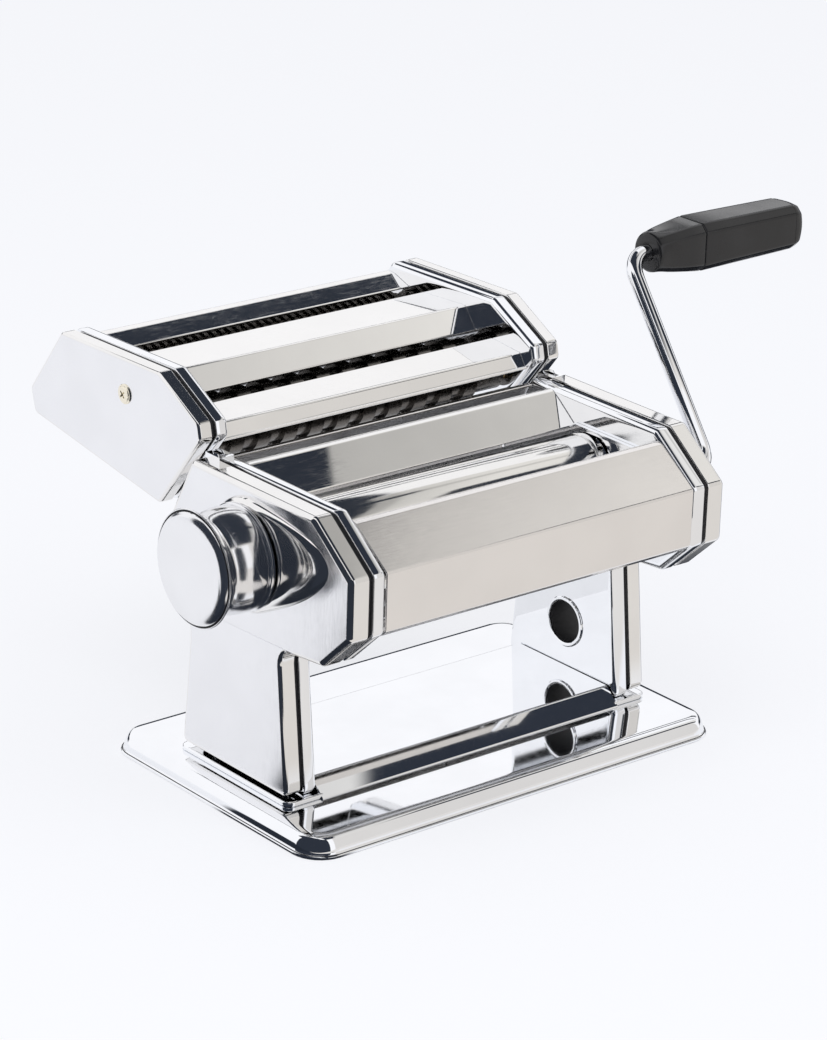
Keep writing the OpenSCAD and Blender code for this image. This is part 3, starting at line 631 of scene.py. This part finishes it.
def box_mesh(name, low, high):
    """A box between two opposite corners."""
    x0, y0, z0 = low
    x1, y1, z1 = high
    ring = [(x0, y0, z0), (x1, y0, z0), (x1, y1, z0), (x0, y1, z0)]
    return loft(name, [ring, [(x, y, z1) for x, y, z in ring]])


def bend_line(points, radius, steps=6):
    """An open line of (y, z) points with round bends."""
    points = [Vector(p) for p in points]
    out = [points[0], points[0] + unit(points[1] - points[0]) * FLAT_MARGIN]
    for before, corner, after in zip(points, points[1:], points[2:]):
        into, away = unit(corner - before), unit(after - corner)
        turn = math.atan2(into.cross(away), into.dot(away))
        reach = radius * math.tan(abs(turn) / 2)
        shorter = min((corner - before).length, (after - corner).length)
        reach = min(reach, shorter * MOST_OF_FLAT - FLAT_MARGIN)
        bend = reach / math.tan(abs(turn) / 2)
        start = corner - into * reach
        middle = start + left_of(into) * math.copysign(bend, turn)
        out.append(start - into * FLAT_MARGIN)
        for k in range(steps + 1):
            out.append(middle + Matrix.Rotation(turn * k / steps, 2) @ (start - middle))
        out.append(corner + away * (reach + FLAT_MARGIN))
    out += [points[-1] - unit(points[-1] - points[-2]) * FLAT_MARGIN, points[-1]]
    return out


def sheet_section(line, thickness):
    """Closed section of a sheet of even thickness along a line, with round long edges."""
    sides = []
    for i, p in enumerate(line):
        into = unit(p - line[i - 1]) if i else unit(line[1] - p)
        away = unit(line[i + 1] - p) if i + 1 < len(line) else into
        out = unit(left_of(into) + left_of(away))
        sides.append(out * thickness / 2 / max(out.dot(left_of(into)), 0.5))
    ahead = unit(line[-1] - line[-2]) * thickness * EDGE_BULGE
    behind = unit(line[0] - line[1]) * thickness * EDGE_BULGE
    top = [p + s for p, s in zip(line, sides)]
    under = [p - s for p, s in zip(line, sides)][::-1]
    end = [line[-1] + ahead + sides[-1] * 0.5, line[-1] + ahead - sides[-1] * 0.5]
    start = [line[0] + behind - sides[0] * 0.5, line[0] + behind + sides[0] * 0.5]
    return top + end + under + start


def bent_sheet(name, points, half, bend=1.6):
    """Pressed sheet along X between -half and half, with softened ends."""
    line = bend_line(points, bend)
    rings = []
    for x, part in ((-half, 0.5), (-half + 0.2, 1.0), (-half + 0.6, 1.0), (half - 0.6, 1.0),
                    (half - 0.2, 1.0), (half, 0.5)):
        rings.append(ring_x(sheet_section(line, SHEET_THICKNESS * part), x))
    return loft(name, rings)


# ---- Places shared with the solids, in millimetres ----

INNER_X = 76.0
FACE_X = 91.0
PANEL_HALF = 75.9
FRONT_AXIS = (-39.5, 104.0)
REAR_AXIS = (-10.5, 104.0)
CLAMP_AXIS = (-1.0, 33.7)
CLAMP_BORE = 9.9
CUTTER_SOCKETS = ((48.0, 129.0), (109.5, 137.0))
POST_AXIS = (74.0, 142.6)
BODY_OUTLINE = [(-48, 130.3), (-71.5, 112.5), (-71.5, 88.8), (-55, 73.5), (-38, 72), (-27.1, 71.5),
                (-33.5, 10.2), (33.5, 10.2), (29.5, 56), (30, 68), (43, 88), (43, 100), (27, 130.3)]
SWELL_OUTLINE = [(-48, 130.3), (-71.5, 112.5), (-71.5, 88.8), (-55, 73.5), (-38, 72), (28, 70),
                 (43, 88), (43, 100), (27, 130.3)]
SWELL_X = 92.6
LEG_TOP_HALF = 27.0
LEG_TOP = 74.0
COVER_FOOT = 11.7
CUTTER_OUTLINE = [(26.3, 144), (24.8, 137.5), (51, 104.5), (136.5, 117), (139.5, 127), (117.5, 156),
                  (52, 157.5)]
CORNER = 3.0
# Larger rounds where the leg meets the body, by the outline's corner numbers
LEG_FILLETS = {5: 7.0, 8: 7.0, 9: 7.0}
# The crank's square tip and the square socket in the front roller
TIP_HALF = 3.2
SOCKET_HALF = 3.4

# ---- Base ----

BASE_HALF_X = 103.3
BASE_HALF_Y = 66.3
BASE_CORNER = 13
BASE_SHARP_ANGLE = 40
FLANGE_MIDDLE = 82.9
FLANGE_HALF_X = 8.7
FLANGE_HALF_Y = 35
FLANGE_CORNER = 4
FLANGE_INNER_CORNER = 0.6
FOLD_HALF = 75.4


def plate_ring(half_x, half_y, radius, inset, z, middle=0.0, radii=None):
    """A rectangle with round corners at one height."""
    corners = [(-half_x, -half_y), (half_x, -half_y), (half_x, half_y), (-half_x, half_y)]
    return [(p.x + middle, p.y, z) for p in inset_outline(corners, radius, inset, radii, 8)]


def make_base():
    """Pressed tray: rolled rim at the foot, a hollow flare and a crisp top edge. The profiles are
    (z, inset). The rim's lower edge and the crease above the rim carry painted shade: a contact
    shadow line under the rim and a shadow line in the crease."""
    outer = [(0.0, 1.1), (0.0, 0.35), (0.3, 0.0), (1.0, 0.0), (1.35, 0.3), (1.5, 0.75), (1.7, 0.95),
             (2.4, 1.1), (3.6, 1.35), (4.8, 1.75), (5.9, 2.3), (6.8, 2.95), (7.4, 3.55), (7.7, 4.0),
             (7.82, 4.35), (8.1, 5.9), (8.17, 6.4), (8.2, 7.0), (8.2, 7.6)]
    inner = [(7.2, 8.6), (7.2, 6.2), (6.6, 5.0), (5.4, 3.6), (3.2, 2.6), (1.4, 1.9)]
    rings = [plate_ring(BASE_HALF_X, BASE_HALF_Y, BASE_CORNER, inset, z)
             for z, inset in inner + outer]
    # Painted shade: a contact shadow line under the rim and a shadow line in the crease above it
    shaded_levels = {len(inner) + 1: SHADE_SLOT, len(inner) + 4: SHADE_SLOT}
    mesh = loft("base_plate_skin", rings, shaded_levels)
    new_piece("base_plate_skin", mesh, [CHROME, PAINTED_SHADE], "base", "base_plate",
              BASE_SHARP_ANGLE)


def make_cross_plate():
    """Flanges under both feet, and the folded plate between the legs; levels are (z, inset)."""
    levels = [(8.2, 0.8), (8.25, 0.4), (8.5, 0.08), (8.9, 0.0), (9.5, 0.0), (9.9, 0.12),
              (10.12, 0.4), (10.2, 0.9), (10.2, 1.4)]
    parts = []
    for middle, inner_corners in ((-FLANGE_MIDDLE, (1, 2)), (FLANGE_MIDDLE, (0, 3))):
        radii = {corner: FLANGE_INNER_CORNER for corner in inner_corners}
        rings = [plate_ring(FLANGE_HALF_X, FLANGE_HALF_Y, FLANGE_CORNER, inset, z, middle, radii)
                 for z, inset in levels]
        parts.append(loft("flange", rings))
    line = [(-35.4, 8.3), (-28.6, 14.7), (25.6, 14.7), (32.4, 8.3)]
    parts.append(bent_sheet("fold", line, FOLD_HALF, bend=0.8))
    mesh = joined("cross_plate_skin", parts)
    new_piece("cross_plate_skin", mesh, [CHROME], "base", "cross_plate",
              BASE_SHARP_ANGLE)


# ---- Frames and covers ----

# Stations (x, inset) of a frame
PAN = [(INNER_X, 3.2), *arc_stations(INNER_X, 0.0, 2.2), (78.5, 0.0), (81.6, 0.0), (81.86, 0.12),
       (82.0, 0.4), (82.0, 1.3), (81.6, 1.4), (77.5, 1.4)]


def make_frame(name, outline, side, body, replaced, radii=None, cuts=()):
    """Chromed pan: flat inside wall, round edge and outward rim."""
    mesh = loft(name, side_rings(outline, CORNER, PAN, side, radii))
    piece = new_piece(name, mesh, [CHROME], body, replaced)
    if cuts:
        cut_away(piece, cuts)


# The skin after this ring of a cover is its neck, painted dark as the shadow in the seam; the skin
# after the next rings is its rim
NECK = 6


def shoulder(face, radius, steps=6):
    """Stations of the rounded edge between a cover's side and its face."""
    out = [(face - radius - 0.15, 0.0)]
    for k in range(steps + 1):
        angle = math.radians(90 * k / steps)
        out.append((face - radius * (1 - math.sin(angle)), radius * (1 - math.cos(angle))))
    return out + [(face, radius + 0.3)]


def cover_stations(face, radius):
    """Stations of a cover, from the hollow behind its face, over the neck, to the face."""
    inside = [(face - 1.4, 5.0), (face - 1.4, 3.6), (face - 2.4, 2.7), (78.0, 2.7), (77.8, 2.6),
              (77.8, 1.6), (78.0, 1.5)]
    return inside + [(84.0, 1.5), (84.0, 0.45), (84.1, 0.15), (84.35, 0.0)] + shoulder(face, radius)


def swell_mesh(side):
    """The part of a rolling cover above the leg, which swells out a little further. Its rim is
    polished, but not where it meets the leg."""
    stations = [(88.6, 1.0), (88.6, 0.0)] + shoulder(SWELL_X, 2.2)
    finish = {level: RIM for level in range(len(stations) - 2)}
    mesh = loft("swell", side_rings(SWELL_OUTLINE, CORNER, stations, side), finish)
    for face in mesh.polygons:
        if abs(face.center.y) < LEG_TOP_HALF * MM and face.center.z < LEG_TOP * MM:
            face.material_index = 0
    return mesh


def make_cover(name, outline, side, body, replaced, face, radius, radii=None, foot=None, more=(),
               cuts=()):
    """Pressed cover with a rounded edge; the neck behind it carries painted shade, standing in for
    the shadow in the seam.
    """
    stations = cover_stations(face, radius)
    if foot:
        outline = [(y, max(z, foot)) for y, z in outline]
    # The neck gets painted shade; the rim gets the polished edge finish
    finish = {NECK: SHADE_SLOT, **{level: RIM for level in range(NECK + 1, len(stations) - 2)}}
    mesh = loft(name, side_rings(outline, CORNER, stations, side, radii), finish)
    mesh = joined(name, [mesh, *more])
    piece = new_piece(name, mesh, [SATIN, PAINTED_SHADE, EDGE], body, replaced)
    if cuts:
        cut_away(piece, cuts)


# The knob's seat: radii of its foot, of the foot's tip, and of the rings at the top
BOSS_STEPS = 72
BOSS_TIP = (-44.5, 110.4)
BOSS_FOOT = 22.6
BOSS_TIP_FOOT = 13.7
BOSS_TOP = 20.5
BOSS_CROWN = 19.3
BOSS_HOLLOW = 10.0
BOSS_FLANK_POWER = 0.62


def boss_foot():
    """Foot of the boss: a teardrop round the knob's axis, with a round front end at the tip."""
    seat = Vector(REAR_AXIS)
    reach = Vector(BOSS_TIP) - seat
    heading = math.atan2(reach.y, reach.x)
    lean = math.acos((BOSS_FOOT - BOSS_TIP_FOOT) / reach.length)
    ring = []
    for k, outward in enumerate(round_points(BOSS_STEPS)):
        angle = 2 * math.pi * k / BOSS_STEPS
        away = (angle - heading + math.pi) % (2 * math.pi) - math.pi
        flank = max(0.0, math.cos(min(abs(away) / lean, 1.0) * math.pi / 2)) ** BOSS_FLANK_POWER
        size = BOSS_FOOT + (BOSS_TIP_FOOT - BOSS_FOOT) * flank
        ring.append(seat + reach * flank + outward * size)
    return ring


def boss_mesh():
    """Raised seat of the knob: its teardrop foot slopes up to a round top with a hollow."""
    seat = Vector(REAR_AXIS)
    foot = boss_foot()
    top, crown, hollow = ([seat + p for p in round_points(BOSS_STEPS, radius)]
                          for radius in (BOSS_TOP, BOSS_CROWN, BOSS_HOLLOW))
    # Parts of the way from foot to top, and the X where each is reached
    rise = [(-0.03, 91.6), (0.0, 92.6), (0.025, 93.1), (0.07, 93.55), (0.14, 94.0), (0.25, 94.45),
            (0.4, 94.85), (0.6, 95.2), (0.8, 95.45), (0.95, 95.6)]
    levels = [(x, [p.lerp(q, part) for p, q in zip(foot, top)]) for part, x in rise]
    levels += [(95.66, top), (95.7, crown), (95.7, hollow)]
    polished = {level: RIM for level in range(len(levels))}
    return loft("boss", [ring_x(ring, -x) for x, ring in levels], polished)


def roller_cuts(side):
    """Front roller's bush hole and rear roller's window in one rolling-unit frame."""
    low, high = sorted((side * 75.0, side * 79.0))
    return [bore((75, 79), 9.05, FRONT_AXIS, side),
            box_mesh("window", (low, -17.8, 96.7), (high, -0.8, 111.3))]


def make_rolling_frames():
    make_frame("left_frame_skin", BODY_OUTLINE, -1, "base", "left_side_frame", LEG_FILLETS,
               roller_cuts(-1))
    clamp = bore((75, 83), CLAMP_BORE, CLAMP_AXIS, 1, 64)
    make_frame("right_frame_skin", BODY_OUTLINE, 1, "base", "right_side_frame", LEG_FILLETS,
               roller_cuts(1) + [clamp])


def make_rolling_covers():
    spindle = bore((88, 97), 5.4, REAR_AXIS, -1)
    make_cover("left_cover_skin", BODY_OUTLINE, -1, "base", "left_side_cover", FACE_X, 1.6,
               LEG_FILLETS, COVER_FOOT, [swell_mesh(-1), boss_mesh()], [spindle])
    shaft = bore((88, 94), 6.4, FRONT_AXIS)
    clamp = bore((77, 93), CLAMP_BORE, CLAMP_AXIS, 1, 64)
    make_cover("right_cover_skin", BODY_OUTLINE, 1, "base", "right_side_cover", FACE_X, 1.6,
               LEG_FILLETS, COVER_FOOT, [swell_mesh(1)], [shaft, clamp])


def make_clamp_socket():
    """Lipped tube through the right leg, with painted shade on its inner wall."""
    profile = [(83.5, 8.8), (76.2, 8.8), (75.5, 9.0), (75.25, 9.4), (75.2, 9.9), (75.3, 10.4),
               (75.6, 10.65), (75.95, 10.7), (76.0, 9.8), (83.5, 9.75), (91.0, 9.75), (91.05, 10.7),
               (91.4, 10.65), (91.7, 10.4), (91.8, 9.9), (91.75, 9.4), (91.5, 9.0), (90.8, 8.8),
               (83.5, 8.8)]
    # Painted shade on the tube's inner wall
    inside = {0: SHADE_SLOT, len(profile) - 2: SHADE_SLOT}
    mesh = turned_x("clamp_socket_skin", profile, CLAMP_AXIS, closed=False, materials=inside)
    new_piece("clamp_socket_skin", mesh, [CHROME, PAINTED_SHADE], "base",
              "clamp_socket")


# ---- Sheet parts ----


def make_panels():
    """Bent sheets of the rolling unit; lines are (y, z)."""
    front = [(-46.6, 118), (-48.6, 125), (-50.2, 125.9), (-52.2, 125.2), (-70.9, 112.1),
             (-70.9, 89.4), (-67, 86.5)]
    rear = [(25, 128), (27, 128.2), (42.2, 99.9), (42.2, 88.6), (38.5, 86)]
    hopper = [(-1.3, 118.4), (12.4, 128.9), (14.3, 129.4), (15.8, 128.6), (16, 126)]
    for name, points, node, finish in (("front_panel_sheet", front, "front_panel", PANEL),
                                       ("rear_panel_sheet", rear, "rear_panel", PANEL),
                                       ("hopper_plate_sheet", hopper, "hopper_rear_plate", SHEET)):
        mesh = bent_sheet(name, points, PANEL_HALF)
        new_piece(name, mesh, [finish], "base", node, 50)


def make_cutter_plates():
    """Bent sheets of the cutter unit; lines are (y, z)."""
    rear = [(105.5, 148.4), (114.9, 151.6), (118.7, 151.8), (137.8, 127.4), (135.6, 119.5)]
    centre = [(95.6, 148.2), (68.8, 149.7), (62, 141.4)]
    front = [(50.8, 140.4), (33.8, 139), (30.5, 133.6), (28.6, 134.4)]
    for name, points, node, bend in (("cutter_rear_sheet", rear, "cutter_rear_plate", 0.8),
                                     ("cutter_centre_sheet", centre, "cutter_centre_plate", 0.9),
                                     ("cutter_front_sheet", front, "cutter_front_plate", 0.9)):
        mesh = bent_sheet(name, points, PANEL_HALF, bend=bend)
        new_piece(name, mesh, [SHEET], "cutter_unit", node, 50)


# ---- Cutter unit's sides ----

CUTTER_FACE_X = 90.0


def make_cutter_sides():
    for side, word in ((-1, "left"), (1, "right")):
        make_frame(f"cutter_{word}_frame_skin", CUTTER_OUTLINE, side, "cutter_unit",
                   f"cutter_{word}_frame")
        cuts = [bore((86, 92), 6.2, axis) for axis in CUTTER_SOCKETS] if side > 0 else []
        make_cover(f"cutter_{word}_cover_skin", CUTTER_OUTLINE, side, "cutter_unit",
                   f"cutter_{word}_cover", CUTTER_FACE_X, 1.2, cuts=cuts)


def make_cover_screws():
    """Pan-head screws with a cross recess, one in each cutter cover."""
    head = [(89.8, 4.0), (90.35, 4.0), (90.55, 3.85), (90.6, 3.45), (90.9, 3.3), (91.15, 2.8),
            (91.28, 2.0), (91.3, 1.0)]
    meshes = [turned_x("head", head, POST_AXIS, side, 48) for side in (-1, 1)]
    piece = new_piece("cover_screw_heads", joined("cover_screw_heads", meshes), [BRASS],
                      "cutter_unit", "cutter_cover_screws")
    arms = []
    for side in (-1, 1):
        for slant in (45, 135):
            turn = Matrix.Rotation(math.radians(slant), 2)
            corners = [turn @ Vector(c) + Vector(POST_AXIS)
                       for c in ((-1.7, -0.36), (1.7, -0.36), (1.7, 0.36), (-1.7, 0.36))]
            arms.append(loft("arm", [ring_x(corners, side * 90.5), ring_x(corners, side * 92.0)]))
    cut_away(piece, arms)


# ---- Knob ----


def make_knob():
    """Turned knob: a cap with a soft shoulder and a groove painted dark for its shadow, and a body
    with a full back part, a waist, and inside it a web and the hub's bore."""
    cap = [(118.3, 16.6), (118.0, 17.5), (118.0, 22.5), (118.05, 22.8), (118.2, 22.95),
           (118.35, 23.0), (118.5, 22.95), (118.6, 22.8), (118.6, 22.5), (118.4, 22.2),
           (118.4, 21.9), (118.75, 21.8), (119.2, 21.6), (119.55, 21.3), (119.85, 20.9),
           (120.1, 20.4), (120.3, 19.7), (120.43, 18.9), (120.5, 17.8), (120.5, 15.0)]
    # Painted shade in the groove between the cap's shoulder and its rim
    groove = {level: SHADE_SLOT for level in (8, 9, 10)}
    mesh = turned_x("knob_cap_turned", cap, REAR_AXIS, -1, 128, materials=groove)
    new_piece("knob_cap_turned", mesh, [TURNED, PAINTED_SHADE], "knob", "knob_cap", 50)
    body = [(100.3, 4.8), (96.5, 4.8), (96.3, 5.0), (96.3, 20.6), (96.45, 20.9), (96.7, 21.0),
            (97.5, 21.0), (97.8, 20.9), (98.0, 20.5), (98.1, 20.0), (98.4, 20.0), (98.7, 20.2),
            (99.5, 20.35), (101.0, 20.5), (103.5, 20.5), (106.0, 20.3), (108.5, 19.8),
            (110.3, 19.2), (111.5, 18.8), (112.6, 18.6), (113.5, 18.7), (114.3, 19.2),
            (115.0, 20.1), (115.5, 21.0), (115.8, 21.35), (116.3, 21.6), (117.3, 21.75),
            (118.0, 21.8), (118.0, 17.0), (117.8, 16.8), (100.5, 16.8), (100.3, 16.6),
            (100.3, 10.0), (107.2, 10.0), (107.2, 8.1), (100.3, 8.1), (100.3, 4.8)]
    mesh = turned_x("knob_body_turned", body, REAR_AXIS, -1, 128, closed=False)
    new_piece("knob_body_turned", mesh, [TURNED], "knob", "knob_body", 50)


# ---- Crank ----

ARM_X = 115.0
THROW = 91.5
CRANK_ANGLE = math.radians(36)
BEND = 9.0
GRIP_AXIS = (FRONT_AXIS[0] + THROW * math.sin(CRANK_ANGLE),
             FRONT_AXIS[1] + THROW * math.cos(CRANK_ANGLE))
NUT_X = 196.5


def sweep(name, path, radius, segments=32):
    """A round bar along a path of points."""
    rings = []
    side = Vector((0, 1, 0))
    for i, p in enumerate(path):
        ahead = unit(path[min(i + 1, len(path) - 1)] - path[max(i - 1, 0)])
        side = unit(side - ahead * side.dot(ahead))
        other = ahead.cross(side)
        rings.append([p + side * q.x + other * q.y for q in round_points(segments, radius)])
    return loft(name, rings)


def make_crank():
    """Square tip, shoulder, and the bar with its two round bends."""
    up = Vector((0, math.sin(CRANK_ANGLE), math.cos(CRANK_ANGLE)))
    along = Vector((1, 0, 0))
    foot = Vector((0, *FRONT_AXIS))

    def quarter(centre, first, second):
        """A quarter circle round a centre, from one direction to another."""
        angles = (math.pi / 2 * k / 12 for k in range(13))
        return [centre + (first * math.cos(a) + second * math.sin(a)) * BEND for a in angles]

    path = [foot + along * 93.0, foot + along * 100.0]
    path += quarter(foot + along * (ARM_X - BEND) + up * BEND, -up, along)
    path += [foot + along * ARM_X + up * z for z in (30.0, 50.0, 70.0)]
    path += quarter(foot + along * (ARM_X + BEND) + up * (THROW - BEND), -along, up)
    path += [foot + up * THROW + along * x for x in (150.0, NUT_X + 1.9)]
    bar = sweep("bar", path, 3.4)
    collar = [(93.0, 4.6), (93.1, 5.0), (93.4, 5.2), (94.6, 5.2), (94.9, 5.0), (95.0, 4.6),
              (95.0, 3.0)]
    y, z = FRONT_AXIS
    tip = box_mesh("tip", (79.5, y - TIP_HALF, z - TIP_HALF), (93.5, y + TIP_HALF, z + TIP_HALF))
    mesh = joined("crank_bar", [bar, turned_x("collar", collar, FRONT_AXIS), tip])
    new_piece("crank_bar", mesh, [CHROME], "crank", "crank_arm")


# Half width and cut corner of the grip's square, as parts of its radius
GRIP_HALF = 0.83
GRIP_CUT = 0.26


def grip_ring(x, radius, squareness, segments=96):
    """One ring of the grip: round where squareness is 0, a square with cut corners where 1."""
    ring = []
    for outward in round_points(segments):
        across, up = abs(outward.x), abs(outward.y)
        flat = GRIP_HALF / max(across, up)
        cut_corner = (2 * GRIP_HALF - GRIP_CUT) / (across + up)
        size = radius + (min(flat, cut_corner) - 1) * radius * squareness
        ring.append(Vector(GRIP_AXIS) + outward * size)
    return ring_x(ring, x)


def make_grip():
    """Flat-sided grip: round mouth, widest at the seam, soft end; stations are (x, radius,
    squareness)."""
    stations = [(126.4, 3.45, 0), (125.5, 3.6, 0), (125.5, 7.0, 0), (125.7, 7.7, 0),
                (126.2, 8.2, 0), (127.0, 8.5, 0.1), (129.0, 8.9, 0.4), (132.0, 9.6, 0.75),
                (136.0, 10.3, 0.95),
                (142.0, 11.2, 1), (148.0, 12.0, 1), (148.4, 11.9, 1), (148.6, 11.5, 1),
                (148.8, 11.5, 1), (149.0, 11.95, 1), (149.6, 12.15, 1), (165.0, 11.9, 1),
                (190.0, 11.5, 1), (200.2, 11.3, 1), (200.3, 11.0, 1)]
    mesh = loft("grip_shell", [grip_ring(*station) for station in stations])
    new_piece("grip_shell", mesh, [BLACK], "grip", "crank_grip", 60)
    stations = [(200.4, 10.8, 1), (200.5, 11.1, 1), (201.5, 11.0, 0.95), (202.8, 10.7, 0.85),
                (204.0, 10.0, 0.7), (204.9, 9.1, 0.6), (205.5, 8.1, 0.5), (205.9, 6.9, 0.4),
                (206.0, 5.6, 0.4)]
    mesh = loft("grip_end", [grip_ring(*station) for station in stations])
    new_piece("grip_end", mesh, [BLACK], "grip", "grip_end_cap", 60)


# ---- Smooth rollers ----


def make_rollers():
    """Smooth rollers with a fine groove near each end and their journals."""
    half = [(0.0, 14.2), (69.6, 14.2), (69.9, 14.1), (70.0, 13.9), (70.6, 13.9), (70.7, 14.1),
            (71.0, 14.2), (75.1, 14.2), (75.4, 14.0), (75.5, 13.6), (75.5, 6.0)]
    for body, axis, left_end, right_end in (("front_roller", FRONT_AXIS, 80.9, 92.6),
                                            ("rear_roller", REAR_AXIS, 79.6, 85.2)):
        profile = [(-left_end, 5.6), (-left_end + 0.3, 6.0)] + [(-x, r) for x, r in half[::-1]]
        profile += half[1:] + [(right_end - 0.3, 6.0), (right_end, 5.6)]
        mesh = turned_x(f"{body}_turned", profile, axis, 1, 128)
        piece = new_piece(f"{body}_turned", mesh, [ROLLER], body, body)
        if body == "front_roller":
            y, z = axis
            low = (78.0, y - SOCKET_HALF, z - SOCKET_HALF)
            high = (94.0, y + SOCKET_HALF, z + SOCKET_HALF)
            cut_away(piece, [box_mesh("socket", low, high)])


add_camera()
add_floor()
add_lights()
add_cards()
world_studio()
dress_cad_nodes()
make_base()
make_cross_plate()
make_rolling_frames()
make_rolling_covers()
make_clamp_socket()
make_panels()
make_cutter_plates()
make_cutter_sides()
make_cover_screws()
make_knob()
make_crank()
make_grip()
make_rollers()

bpy.context.scene.view_settings.view_transform = "Standard"
